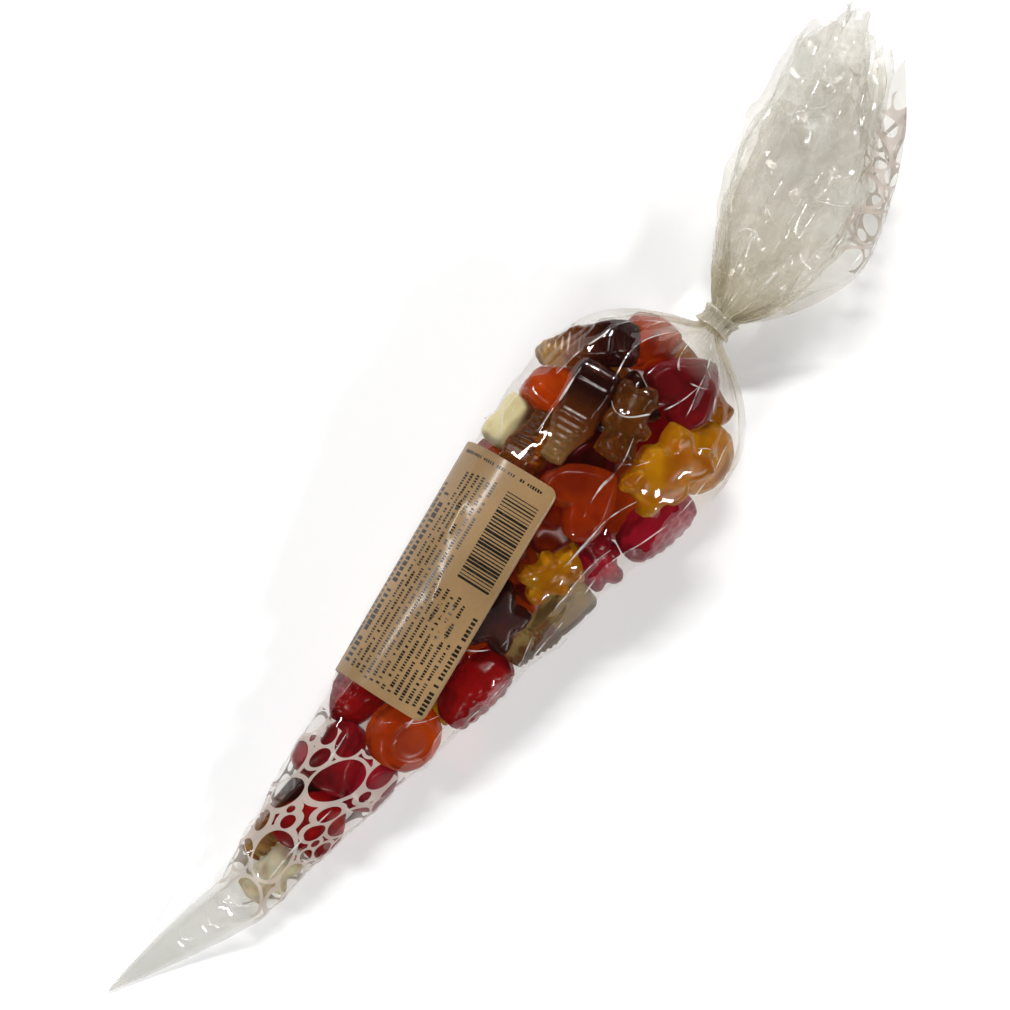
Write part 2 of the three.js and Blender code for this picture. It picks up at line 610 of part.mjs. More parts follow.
// The label is a rectangle of paper with round corners, nearly square to the bag's left edge.
function labelPaper() {
  const rows = [0, 0.3 * LABEL_CORNER, LABEL_CORNER];
  const between = 9;
  for (let i = 1; i < between; i++) rows.push(mix(LABEL_CORNER, LABEL_LENGTH - LABEL_CORNER, i / between));
  rows.push(LABEL_LENGTH - LABEL_CORNER, LABEL_LENGTH - 0.3 * LABEL_CORNER, LABEL_LENGTH);
  const columns = 12;
  const edge = (WIDEST_WIDTH - BEND_WIDTH) / 2 / CONE_LENGTH - CONE_BOW / CONE_LENGTH;
  const slant = Math.atan(edge) - THREE.MathUtils.degToRad(LABEL_TURN);
  const sheet = (lift) =>
    rows.map((along) => {
      const fromEnd = Math.min(along, LABEL_LENGTH - along);
      const short = Math.max(0, LABEL_CORNER - fromEnd);
      const cut = LABEL_CORNER - Math.sqrt(LABEL_CORNER ** 2 - short ** 2);
      const drift = (along - LABEL_LENGTH / 2) * Math.sin(THREE.MathUtils.degToRad(LABEL_TURN));
      return Array.from({ length: columns + 1 }, (_, i) => {
        const across = mix(cut, LABEL_WIDTH - cut, i / columns) - LABEL_WRAP;
        const y = LABEL_START + along * Math.cos(slant) + across * Math.sin(slant);
        return roundFromLeft(y, across + drift, lift);
      });
    });
  const under = sheet(LABEL_LIFT);
  const over = sheet(LABEL_LIFT + LABEL_PAPER);
  const vertices = [...under.flat(), ...over.flat()];
  const width = columns + 1;
  const top = rows.length * width;
  const triangles = [];
  const face = (a, b, c, d) => triangles.push([a, c, b], [a, d, c]);
  for (let r = 0; r + 1 < rows.length; r++) {
    for (let c = 0; c + 1 < width; c++) {
      const a = r * width + c;
      face(a, a + 1, a + 1 + width, a + width);
      face(top + a, top + a + width, top + a + 1 + width, top + a + 1);
    }
    const left = r * width;
    const right = left + columns;
    face(left, left + width, top + left + width, top + left);
    face(right, top + right, top + right + width, right + width);
  }
  for (let c = 0; c + 1 < width; c++) {
    const last = (rows.length - 1) * width + c;
    face(c, top + c, top + c + 1, c + 1);
    face(last, last + 1, top + last + 1, top + last);
  }
  const made = new THREE.BufferGeometry();
  made.setAttribute("position", new THREE.Float32BufferAttribute(vertices.flatMap((v) => v.toArray()), 3));
  made.setIndex(triangles.flat());
  return made;
}

// The tape goes once round the gathered neck.
function neckTape() {
  const inside = Math.max(NECK_WIDTH, NECK_DEPTH) / 2 + GAP;
  const band = new THREE.Shape().absarc(0, 0, inside + TAPE_THICKNESS, 0, 2 * Math.PI, false);
  band.holes.push(new THREE.Path().absarc(0, 0, inside, 0, 2 * Math.PI, true));
  const made = new THREE.ExtrudeGeometry(band, { depth: TAPE_WIDTH, bevelEnabled: false, curveSegments: 16 });
  const middle = (NECK_START + NECK_END) / 2;
  const s = sectionAt(middle);
  made.rotateX(-Math.PI / 2);
  made.translate(s.x, middle - TAPE_WIDTH / 2, s.z);
  return made;
}

const candyCone = new THREE.Group();
candyCone.add(
  named("bag_film", bagFilm(), { color: "#e4e3dd", roughness: 0.15, transparent: true, opacity: 0.35 }),
  named("label", labelPaper(), { color: "#d8b48e", roughness: 0.55 }),
  named("neck_tape", neckTape(), { color: "#e9e6da", roughness: 0.2, transparent: true, opacity: 0.5 }),
  ...sweetMeshes(),
);

// The origin is the middle of the footprint, on the table.
const box = new THREE.Box3().setFromObject(candyCone);
const centre = box.getCenter(new THREE.Vector3());
candyCone.position.set(-centre.x, -centre.y, -box.min.z);

export default candyCone;
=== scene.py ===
"""The looks of a cone of jelly sweets: film, print, label, tape, sweets and a plain studio.

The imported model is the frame. Everything is in metres, in the frame's own axes: +Y runs along the bag
from its empty tip to its mouth, +Z is up, and the bag lies on the floor at height 0.
"""

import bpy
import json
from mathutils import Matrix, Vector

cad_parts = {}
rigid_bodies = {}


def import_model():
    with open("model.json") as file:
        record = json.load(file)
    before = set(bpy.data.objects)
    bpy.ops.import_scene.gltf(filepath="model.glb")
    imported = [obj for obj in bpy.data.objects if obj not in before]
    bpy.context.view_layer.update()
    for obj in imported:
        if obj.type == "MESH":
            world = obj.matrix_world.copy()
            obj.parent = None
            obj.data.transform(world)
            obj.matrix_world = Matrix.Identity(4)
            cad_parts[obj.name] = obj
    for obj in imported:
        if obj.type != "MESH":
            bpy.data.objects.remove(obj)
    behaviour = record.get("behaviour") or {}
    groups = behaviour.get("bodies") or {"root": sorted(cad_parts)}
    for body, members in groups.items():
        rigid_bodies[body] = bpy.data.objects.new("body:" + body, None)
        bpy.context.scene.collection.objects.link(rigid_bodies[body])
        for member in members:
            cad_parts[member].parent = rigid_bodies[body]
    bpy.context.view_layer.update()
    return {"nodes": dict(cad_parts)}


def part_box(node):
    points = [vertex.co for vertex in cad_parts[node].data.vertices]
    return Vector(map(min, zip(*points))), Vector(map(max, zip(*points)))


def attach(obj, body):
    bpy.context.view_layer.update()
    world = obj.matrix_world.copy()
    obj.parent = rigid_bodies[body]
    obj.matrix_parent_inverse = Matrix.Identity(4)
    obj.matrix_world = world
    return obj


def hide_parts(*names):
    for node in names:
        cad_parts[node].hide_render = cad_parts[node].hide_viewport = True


bl_info = {
    "name": "Candy cone",
    "version": (1, 0, 0),
    "blender": (4, 5, 0),
    "location": "3D View > Sidebar > Candy cone",
    "description": "Clear film cone of jelly sweets with its label, tape and studio",
    "category": "Object",
}

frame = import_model()

import json
import math

import bpy
import numpy as np
from mathutils import Vector
from mathutils.bvhtree import BVHTree

BODY = "root"

# The bag along its length, measured from the bend above its empty tail.
TAIL_LENGTH = 0.048
CONE_LENGTH = 0.168
SHOULDER_LENGTH = 0.047
NECK_LENGTH = 0.0076
FLARE_LENGTH = 0.092
NECK_START = CONE_LENGTH + SHOULDER_LENGTH
NECK_END = NECK_START + NECK_LENGTH

# The bag across, and how it leans.
TIP_WIDTH, TIP_DEPTH = 0.001, 0.0009
BEND_WIDTH, BEND_DEPTH = 0.0172, 0.0126
WIDEST_WIDTH, WIDEST_DEPTH = 0.071, 0.044
NECK_WIDTH, NECK_DEPTH = 0.0109, 0.0109
FLARE_WIDTH, FLARE_DEPTH = 0.054, 0.040
SINK = 0.0015
NECK_HEIGHT = 0.015
TAIL_SWING, CONE_BOW, RIGHT_DENT, FLARE_LEAN = -0.0125, -0.0052, 0.0028, -0.022
MOUTH_DROP_LEFT, MOUTH_DROP_RIGHT = 0.013, 0.017

# Gathers and folds, at the same steps round the bag as the solid's, counted up from its right edge.
STEPS_ROUND = 40
STEPS_PER_PLEAT = 4
SHOULDER_PLEAT, NECK_PLEAT, PLEATS_START = 0.12, 0.45, 0.4
CRUMPLE = 0.08
FLARE_TWIST = math.radians(12)
# Each fold of the loose film: its step, its depth as a share of the half width, its reach in steps.
FLARE_FOLDS = (
    (4, 0.38, 1),
    (8, 0.24, 2),
    (11, 0.36, 1),
    (15, 0.28, 2),
    (18, 0.14, 1),
    (22, 0.26, 2),
    (26, 0.36, 2),
    (30, 0.3, 2),
    (35, 0.32, 2),
)

# The bend's place in the frame comes from the bag's tip and the tape on its neck.
TIP_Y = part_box("bag_film")[0].y
TAPE_LOW, TAPE_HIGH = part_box("neck_tape")
BEND_Y = TIP_Y + TAIL_LENGTH + TIP_WIDTH
BEND_X = (TAPE_LOW.x + TAPE_HIGH.x) / 2 - 0.85 * CONE_BOW

FLOOR_GAP = 0.00015  # film above the floor where it rests
TWO_PI = 2 * math.pi


class CandyConeSizes(bpy.types.PropertyGroup):
    """Sizes that a user may change."""

    tightness: bpy.props.FloatProperty(
        name="Tightness",
        description="How closely the film is drawn over the sweets, from its own smooth form at 0",
        default=0.85,
        min=0,
        max=1,
        subtype="FACTOR",
    )
    crease_height: bpy.props.FloatProperty(
        name="Crease height", description="Height of a sharp crease in the film",
        default=0.0009, unit="LENGTH"
    )
    crumple: bpy.props.FloatProperty(
        name="Crumple", description="Depth of the crumpled facets in the loose film above the neck",
        default=0.001, unit="LENGTH"
    )
    ink_line: bpy.props.FloatProperty(
        name="Ink line", description="Width of the printed rings' lines", default=0.0013, unit="LENGTH"
    )
    voxel: bpy.props.FloatProperty(
        name="Sweet mesh", description="Grid size that the sweets are rounded on",
        default=0.00055, unit="LENGTH"
    )


class CandyConeColours(bpy.types.PropertyGroup):
    """Colours that a user may change."""

    paper: bpy.props.StringProperty(name="Paper", description="Label paper, sRGB hex", default="#AF8B5D")
    ink: bpy.props.StringProperty(name="Print", description="Rings printed on the film", default="#D1C3B8")
    black: bpy.props.StringProperty(name="Label ink", description="Marks on the label", default="#1B1714")
    haze: bpy.props.StringProperty(name="Film haze", description="Haze in the film", default="#F5F5F1")


def sizes():
    return bpy.context.scene.candy_cone_sizes


def colours():
    return bpy.context.scene.candy_cone_colours


def linear(code):
    """An sRGB hex value as the linear colour that Blender's sockets take."""
    channels = [int(code[i : i + 2], 16) / 255 for i in (1, 3, 5)]
    return tuple(c / 12.92 if c <= 0.04045 else ((c + 0.055) / 1.055) ** 2.4 for c in channels) + (1.0,)


def ease(k):
    """A rise from 0 to 1 that starts and ends softly."""
    k = np.clip(k, 0, 1)
    return k * k * (3 - 2 * k)


def angle_off(angle, middle):
    """How far an angle lies from a middle one, up to half a turn either way."""
    return np.mod(angle - middle + math.pi, TWO_PI) - math.pi


# The bag's smooth form


def bag_section(y):
    """Middle x, half width, middle z and half depth of the bag at distances y from the bend.

    The shares and powers are the solid's own, so that the film fits it.
    """
    y = np.asarray(y, float)
    tail = np.clip((y + TAIL_LENGTH) / TAIL_LENGTH, 0, 1)
    cone = np.clip(y / CONE_LENGTH, 0, 1)
    shoulder = np.clip((y - CONE_LENGTH) / SHOULDER_LENGTH, 0, 1)
    flare = np.clip((y - NECK_END) / FLARE_LENGTH, 0, 1)
    dent = RIGHT_DENT / 2 * np.exp(-(((cone - 0.83) / 0.13) ** 2))
    full = 1 - shoulder**4
    opened = np.where(flare < 0.45, 1 - (1 - flare / 0.45) ** 2, 1 - 0.35 * (flare / 0.45 - 1) ** 2)
    where = [y <= 0, y <= CONE_LENGTH, y <= NECK_START]

    half = np.select(
        where,
        [
            (TIP_WIDTH + (BEND_WIDTH - TIP_WIDTH) * (1 - (1 - tail) ** 1.45)) / 2,
            (BEND_WIDTH + (WIDEST_WIDTH - BEND_WIDTH) * cone) / 2 - dent,
            (NECK_WIDTH + (WIDEST_WIDTH - NECK_WIDTH) * full) / 2,
        ],
        (NECK_WIDTH + (FLARE_WIDTH - NECK_WIDTH) * opened) / 2,
    )
    deep = np.select(
        where,
        [
            (TIP_DEPTH + (BEND_DEPTH - TIP_DEPTH) * tail**1.7) / 2,
            (BEND_DEPTH + (WIDEST_DEPTH - BEND_DEPTH) * cone**0.8) / 2,
            (NECK_DEPTH + (WIDEST_DEPTH - NECK_DEPTH) * full) / 2,
        ],
        (NECK_DEPTH + (FLARE_DEPTH - NECK_DEPTH) * opened) / 2,
    )
    lying = WIDEST_DEPTH / 2 - SINK
    open_height = FLARE_DEPTH / 2 - SINK
    z = np.select(
        where,
        [deep - SINK * tail**2, deep - SINK, lying + (NECK_HEIGHT - lying) * shoulder**2.5],
        NECK_HEIGHT + (open_height - NECK_HEIGHT) * ease(2.2 * flare),
    )
    x = np.select(
        where,
        [TAIL_SWING * (1 - tail), CONE_BOW * np.sqrt(cone) - dent, CONE_BOW * (1 - 0.15 * shoulder)],
        0.85 * CONE_BOW + FLARE_LEAN * flare**2,
    )
    return x, half, z, deep


def main_folds(y, angle):
    """The bag's gathers and folds: how far the film lies in, as a share of the half width there."""
    step = np.arange(STEPS_ROUND)
    which, within = step // STEPS_PER_PLEAT, step % STEPS_PER_PLEAT
    shoulder = np.clip((y - CONE_LENGTH) / SHOULDER_LENGTH, 0, 1)
    up = np.clip((y - NECK_END) / FLARE_LENGTH, 0, 1)[:, None]
    gather = np.clip((shoulder - PLEATS_START) / (1 - PLEATS_START), 0, 1)[:, None]
    pleat = SHOULDER_PLEAT * gather + (NECK_PLEAT - SHOULDER_PLEAT) * gather**6
    pleat = pleat * (1 - ease(2.5 * up))
    deeper = 1 + 0.35 * np.sin(1.3 * which + 2)
    fold = 1 - np.abs(2 * within / STEPS_PER_PLEAT - 1)
    folds = [depth * np.clip(1 - np.abs(step - at) / reach, 0, 1) for at, depth, reach in FLARE_FOLDS]
    flare = np.max(folds, axis=0)
    crumple = CRUMPLE / 2 * ease(up / 0.3) * np.ones(STEPS_ROUND)
    depth = pleat * deeper * fold + ease(2.5 * up) * flare + crumple
    places = TWO_PI * step / STEPS_ROUND + pleat * 0.32 * np.sin(2.1 * which + 0.7) + FLARE_TWIST * up
    sharp = np.stack([np.interp(angle, at, deep, period=TWO_PI) for at, deep in zip(places, depth)])
    soft = softened(sharp, max(len(angle) // 90, 1))
    return sharp + (soft - sharp) * ease(up / 0.3)


def softened(grid, reach):
    """A grid with each row smoothed round the bag."""
    for _ in range(2):
        grid = np.mean([np.roll(grid, n, axis=1) for n in range(-reach, reach + 1)], axis=0)
    return grid


def angle_from(start, y, distance):
    """The angle round the bag that lies a distance along its surface from a start angle."""
    _, half, _, deep = bag_section(y)
    angle = np.full(np.broadcast(y, distance).shape, float(start))
    steps = 48
    for _ in range(steps):
        angle = angle + distance / steps / np.hypot(half * np.sin(angle), deep * np.cos(angle))
    return angle


class Surface:
    """A film surface as a grid of points: rows run along the bag and columns round it."""

    def __init__(self, y, points):
        self.y = y
        self.points = points
        self.normals = grid_normals(points)

    def at(self, y, angle, lift):
        """Points on the film, lifted off it along its normal."""
        row = np.interp(y, self.y, np.arange(len(self.y)))
        column = np.mod(angle, TWO_PI) / TWO_PI * self.points.shape[1]
        r0 = np.clip(row.astype(int), 0, len(self.y) - 2)
        c0 = column.astype(int) % self.points.shape[1]
        c1 = (c0 + 1) % self.points.shape[1]
        fr = (row - r0)[..., None]
        fc = (column - np.floor(column))[..., None]

        def blend(grid):
            low = grid[r0, c0] * (1 - fc) + grid[r0, c1] * fc
            high = grid[r0 + 1, c0] * (1 - fc) + grid[r0 + 1, c1] * fc
            return low * (1 - fr) + high * fr

        return blend(self.points) + blend(self.normals) * np.asarray(lift)[..., None]


def grid_normals(points):
    along = np.gradient(points, axis=0)
    around = np.roll(points, -1, axis=1) - np.roll(points, 1, axis=1)
    normals = np.cross(along, around)
    return normals / np.maximum(np.linalg.norm(normals, axis=2, keepdims=True), 1e-12)


def placed(x, y, z):
    """Points given from the bend, in the frame's axes."""
    return np.stack(np.broadcast_arrays(x + BEND_X, y + BEND_Y, z), axis=-1)


def triangle_wave(phase):
    return 4 * np.abs(np.mod(phase, 1) - 0.5) - 1


def facets(points, wavelength, rng, count):
    """Sharp-edged crumples: triangle waves in random directions, bent a little by slow waves."""
    total = np.zeros(points.shape[:-1])
    for _ in range(count):
        direction = rng.normal(size=3)
        direction /= np.linalg.norm(direction)
        sideways = np.cross(direction, rng.normal(size=3))
        sideways /= np.linalg.norm(sideways)
        length = wavelength * rng.uniform(0.7, 1.5)
        slow = np.sin(points @ sideways / (2.6 * length) + rng.uniform(0, TWO_PI))
        total += triangle_wave(points @ direction / length + 0.35 * slow + rng.uniform())
    return total / count


def ring_faces(rows, columns):
    """The faces of a grid that is closed round its columns."""
    r, c = np.meshgrid(np.arange(rows - 1), np.arange(columns), indexing="ij")
    a = r * columns + c
    b = r * columns + (c + 1) % columns
    return np.stack([a, a + columns, b + columns, b], axis=-1).reshape(-1, 4)


def grid_mesh(name, points, closed_start):
    """A mesh from a grid of points that is closed round its columns, with an optional point at its start."""
    rows, columns = points.shape[:2]
    vertices = points.reshape(-1, 3)
    faces = ring_faces(rows, columns).tolist()
    if closed_start:
        tip = len(vertices)
        vertices = np.vstack([vertices, points[0].mean(axis=0) - [0, TIP_WIDTH / 2, 0]])
        faces += [[tip, i, (i + 1) % columns] for i in range(columns)]
    return new_mesh(name, vertices, faces)


def new_mesh(name, vertices, faces):
    mesh = bpy.data.meshes.new(name)
    mesh.from_pydata(np.asarray(vertices).tolist(), [], faces)
    mesh.update()
    mesh.shade_smooth()
    return mesh


def new_piece(name, mesh, material, slot, *nodes):
    """A finished piece of the object, riding on its body and standing for its CAD nodes."""
    piece = bpy.data.objects.new(name, mesh)
    bpy.context.scene.collection.objects.link(piece)
    mesh.materials.clear()
    mesh.materials.append(material)
    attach(piece, BODY)
    if nodes:
        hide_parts(*nodes)
    return piece


# Materials


def new_material(name):
    """A node material with no nodes yet, and its tree."""
    material = bpy.data.materials.new(name)
    material.use_nodes = True
    material.node_tree.nodes.clear()
    return material, material.node_tree


def add_node(tree, kind, links=None, stops=(), **settings):
    """Adds a node. Settings go to its properties, or to its inputs by name.

    Links feed its inputs by name or number, each from a socket or with a plain value. Stops are the places
    and colours of a ramp, from its first to its last.
    """
    node = tree.nodes.new(kind)
    for key, value in settings.items():
        if hasattr(node, key):
            setattr(node, key, value)
        else:
            node.inputs[key.replace("_", " ")].default_value = value
    for key, value in (links or {}).items():
        if isinstance(value, bpy.types.NodeSocket):
            tree.links.new(value, node.inputs[key])
        else:
            node.inputs[key].default_value = value
    for number, (place, code) in enumerate(stops):
        elements = node.color_ramp.elements
        element = elements[number] if number in (0, len(stops) - 1) else elements.new(place)
        element.position = place
        element.color = linear(code)
    return node


# Haze is the share of light that one layer of film scatters.
HAZE_SPREAD = 0.9  # how far it strays from place to place
NECK_HAZE, TAIL_HAZE = 0.3, 0.3
SLANTED_HAZE = 2.6  # a layer seen edge on is this many times as hazy
LAYERS_APART = 100  # patches of layers that lie together or apart, to a metre


def film_haze(tree, where, haze, folded):
    """More haze near the neck and in the empty tail; in folded film it changes from patch to patch."""
    apart = add_node(tree, "ShaderNodeSeparateXYZ", {"Vector": where})
    middle = NECK_START + NECK_LENGTH / 2 + BEND_Y
    from_neck = add_node(tree, "ShaderNodeMath", {0: apart.outputs["Y"], 1: middle}, operation="SUBTRACT")
    away = add_node(tree, "ShaderNodeMath", {0: from_neck.outputs[0]}, operation="ABSOLUTE")
    near_neck = add_node(
        tree, "ShaderNodeMapRange", {"Value": away.outputs[0]},
        From_Min=0.003, From_Max=0.019, To_Min=NECK_HAZE, To_Max=0.0,
    )
    in_tail = add_node(
        tree, "ShaderNodeMapRange", {"Value": apart.outputs["Y"]},
        From_Min=BEND_Y - 0.008, From_Max=BEND_Y + 0.004, To_Min=TAIL_HAZE, To_Max=haze,
    )
    if folded:
        # Layers that lie together or apart meet in straight-edged patches a centimetre or so wide.
        cells = add_node(tree, "ShaderNodeTexVoronoi", {"Vector": where}, Scale=LAYERS_APART)
        cell = add_node(tree, "ShaderNodeSeparateColor", {"Color": cells.outputs["Color"]}).outputs[0]
    else:
        cell = add_node(tree, "ShaderNodeTexNoise", {"Vector": where}, Scale=70, Detail=1).outputs["Fac"]
    spread = {"To_Min": 1 - HAZE_SPREAD, "To_Max": 1 + HAZE_SPREAD}
    uneven = add_node(tree, "ShaderNodeMapRange", {"Value": cell}, **spread)
    both = {0: near_neck.outputs[0], 1: in_tail.outputs[0]}
    both = add_node(tree, "ShaderNodeMath", both, operation="ADD")
    varied = {0: both.outputs[0], 1: uneven.outputs[0]}
    varied = add_node(tree, "ShaderNodeMath", varied, operation="MULTIPLY")
    facing = add_node(tree, "ShaderNodeLayerWeight", Blend=0.5)
    slant = {"Value": facing.outputs["Facing"]}
    slant = add_node(tree, "ShaderNodeMapRange", slant, To_Min=1.0, To_Max=SLANTED_HAZE)
    total = {0: varied.outputs[0], 1: slant.outputs[0]}
    total = add_node(tree, "ShaderNodeMath", total, operation="MULTIPLY")
    # Toward the neck the haze turns a warmer, slightly darker beige.
    warmer_near_neck = add_node(
        tree, "ShaderNodeMapRange", {"Value": away.outputs[0]},
        From_Min=0.004, From_Max=0.045, To_Min=1.0, To_Max=0.0,
    )
    stops = ((0, colours().haze), (1, "#EDE6D0"))
    tint = add_node(tree, "ShaderNodeValToRGB", {"Fac": warmer_near_neck.outputs[0]}, stops)
    return total.outputs[0], tint.outputs[0]


def film_material(name, haze, roughness, mirror, folded):
    """Cast polypropylene film: clear and glossy, with a faint haze that adds up where layers lie together."""
    material, tree = new_material(name)
    where = add_node(tree, "ShaderNodeTexCoord").outputs["Object"]
    fine = add_node(tree, "ShaderNodeTexNoise", {"Vector": where}, Scale=230, Detail=1)
    bump = add_node(tree, "ShaderNodeBump", {"Height": fine.outputs["Fac"]}, Strength=0.12, Distance=0.0003)
    bump = {"Normal": bump.outputs["Normal"]}
    facing = add_node(tree, "ShaderNodeLayerWeight", bump, Blend=0.5)
    grazing = add_node(tree, "ShaderNodeMath", {0: facing.outputs["Facing"], 1: 5}, operation="POWER")
    # The mirror's share holds head on. Toward a grazing view it rises to nearly all, as Fresnel has it.
    share = add_node(tree, "ShaderNodeMapRange", {"Value": grazing.outputs[0]}, To_Min=mirror, To_Max=0.9)
    clear = add_node(tree, "ShaderNodeBsdfTransparent", Color=linear("#FAF9F7"))
    gloss = add_node(tree, "ShaderNodeBsdfGlossy", bump, Color=linear("#FFFFFF"), Roughness=roughness)
    milky, tint = film_haze(tree, where, haze, folded)
    lit = add_node(tree, "ShaderNodeBsdfDiffuse", {"Color": tint})
    glow = add_node(tree, "ShaderNodeBsdfTranslucent", {"Color": tint})
    milk = add_node(tree, "ShaderNodeMixShader", {1: lit.outputs[0], 2: glow.outputs[0]}, Fac=0.45)
    hazy = add_node(tree, "ShaderNodeMixShader", {0: milky, 1: clear.outputs[0], 2: milk.outputs[0]})
    film = {0: share.outputs[0], 1: hazy.outputs[0], 2: gloss.outputs[0]}
    film = add_node(tree, "ShaderNodeMixShader", film)
    add_node(tree, "ShaderNodeOutputMaterial", {"Surface": film.outputs[0]})
    return material


def glint_and_weld_material():
    """White strips on the film: painted glints along its creases, where it would catch a lamp, and the weld
    seam, whitened film with a painted glint along it.
    """
    material, tree = new_material("Painted crease glints and whitened weld")
    where = add_node(tree, "ShaderNodeTexCoord").outputs["Object"]
    # Noise breaks each strip up, so that its painted glint comes and goes.
    broken = add_node(tree, "ShaderNodeTexNoise", {"Vector": where}, Scale=170, Detail=2)
    cover = add_node(
        tree, "ShaderNodeMapRange", {"Value": broken.outputs["Fac"]},
        From_Min=0.42, From_Max=0.62, To_Min=0.0, To_Max=0.7,
    )
    shader = add_node(
        tree, "ShaderNodeBsdfPrincipled", {"Alpha": cover.outputs[0]},
        Base_Color=linear("#F6F4F0"), Roughness=0.25,
    )
    add_node(tree, "ShaderNodeOutputMaterial", {"Surface": shader.outputs[0]})
    return material


def ink_material():
    """White printing ink on film: thin and milky, so what lies under it tints it."""
    material, tree = new_material("White flexo ink on film")
    where = add_node(tree, "ShaderNodeTexCoord").outputs["Object"]
    patchy = add_node(tree, "ShaderNodeTexNoise", {"Vector": where}, Scale=260, Detail=2)
    cover = add_node(tree, "ShaderNodeMapRange", {"Value": patchy.outputs["Fac"]}, To_Min=0.66, To_Max=0.9)
    shader = add_node(
        tree, "ShaderNodeBsdfPrincipled", {"Alpha": cover.outputs[0]},
        Base_Color=linear(colours().ink), Roughness=0.4,
    )
    add_node(tree, "ShaderNodeOutputMaterial", {"Surface": shader.outputs[0]})
    return material


def paper_material():
    """Film-laminated kraft-toned label paper: warm beige with faint fibres under a low gloss."""
    material, tree = new_material("Laminated label paper")
    where = add_node(tree, "ShaderNodeTexCoord").outputs["Object"]
    fibres = add_node(tree, "ShaderNodeTexNoise", {"Vector": where}, Scale=900, Detail=4)
    cloud = add_node(tree, "ShaderNodeTexNoise", {"Vector": where}, Scale=28, Detail=2)
    stops = ((0.3, "#94754B"), (0.62, colours().paper))
    tone = add_node(tree, "ShaderNodeValToRGB", {"Fac": cloud.outputs["Fac"]}, stops)
    grain = {0: 0.16, 6: tone.outputs[0], 7: fibres.outputs["Fac"]}
    grain = add_node(tree, "ShaderNodeMix", grain, data_type="RGBA", blend_type="MULTIPLY")
    bump = add_node(tree, "ShaderNodeBump", {"Height": fibres.outputs["Fac"]}, Strength=0.1, Distance=0.0001)
    shader = add_node(
        tree, "ShaderNodeBsdfPrincipled", {"Base Color": grain.outputs[2], "Normal": bump.outputs["Normal"]},
        Roughness=0.5, Coat_Weight=0.35, Coat_Roughness=0.14,
    )
    add_node(tree, "ShaderNodeOutputMaterial", {"Surface": shader.outputs[0]})
    return material


def label_ink_material():
    """Black label ink with a faint gloss from the lamination over it."""
    material, tree = new_material("Black label ink")
    where = add_node(tree, "ShaderNodeTexCoord").outputs["Object"]
    worn = add_node(tree, "ShaderNodeTexNoise", {"Vector": where}, Scale=700, Detail=2)
    stops = ((0.55, colours().black), (0.8, "#4A3F36"))
    tone = add_node(tree, "ShaderNodeValToRGB", {"Fac": worn.outputs["Fac"]}, stops)
    shader = add_node(tree, "ShaderNodeBsdfPrincipled", {"Base Color": tone.outputs[0]}, Roughness=0.3)
    add_node(tree, "ShaderNodeOutputMaterial", {"Surface": shader.outputs[0]})
    return material


def tape_material():
    """Clear packing tape: glossier and milkier than the film under it."""
    material, tree = new_material("Clear adhesive tape")
    where = add_node(tree, "ShaderNodeTexCoord").outputs["Object"]
    fine = add_node(tree, "ShaderNodeTexNoise", {"Vector": where}, Scale=500, Detail=2)
    bump = add_node(tree, "ShaderNodeBump", {"Height": fine.outputs["Fac"]}, Strength=0.3, Distance=0.0003)
    bump = {"Normal": bump.outputs["Normal"]}
    facing = add_node(tree, "ShaderNodeLayerWeight", bump, Blend=0.5)
    share = {"Value": facing.outputs["Facing"]}
    share = add_node(tree, "ShaderNodeMapRange", share, To_Min=0.03, To_Max=0.25)
    clear = add_node(tree, "ShaderNodeBsdfTransparent", Color=linear("#F6F3E8"))
    milk = add_node(tree, "ShaderNodeBsdfDiffuse", Color=linear("#EEE9DA"))
    gloss = add_node(tree, "ShaderNodeBsdfGlossy", bump, Roughness=0.12)
    hazy = add_node(tree, "ShaderNodeMixShader", {1: clear.outputs[0], 2: milk.outputs[0]}, Fac=0.3)
    tape = {0: share.outputs[0], 1: hazy.outputs[0], 2: gloss.outputs[0]}
    tape = add_node(tree, "ShaderNodeMixShader", tape)
    add_node(tree, "ShaderNodeOutputMaterial", {"Surface": tape.outputs[0]})
    return material


# Gelatine jelly, cast in starch and oiled: deep colour, clear enough to glow where light comes through.
# Light spreads a few millimetres in it, red farthest.
JELLY_BODY = {
    "IOR": 1.34,
    "Specular_IOR_Level": 0.13,
    "Subsurface_Weight": 0.8,
    "Subsurface_Scale": 0.003,
}
# Each has its colour where thin, its colour in depth, and how much light goes straight through.
JELLY = {
    "red": ("#CC1418", "#A2080A", 0.7),
    "wine": ("#B81A2A", "#8A101A", 0.7),
    "pink": ("#CE203A", "#A4102A", 0.7),
    "orange": ("#E65802", "#BC3C00", 0.7),
    "yellow": ("#F4B602", "#D68E00", 0.7),
    "amber": ("#C07614", "#904C08", 0.8),
    "cola": ("#6A2414", "#34100A", 0.6),
    "cream": ("#EADFB4", "#D8CB98", 0.0),
    "clear": ("#FBF4DE", "#EEDFB6", 0.55),
    "smoky": ("#B89C64", "#8E7244", 0.85),
}
# One clear sweet half way up is smoky brown.
SMOKED = {"bottle_clear_2": "smoky"}


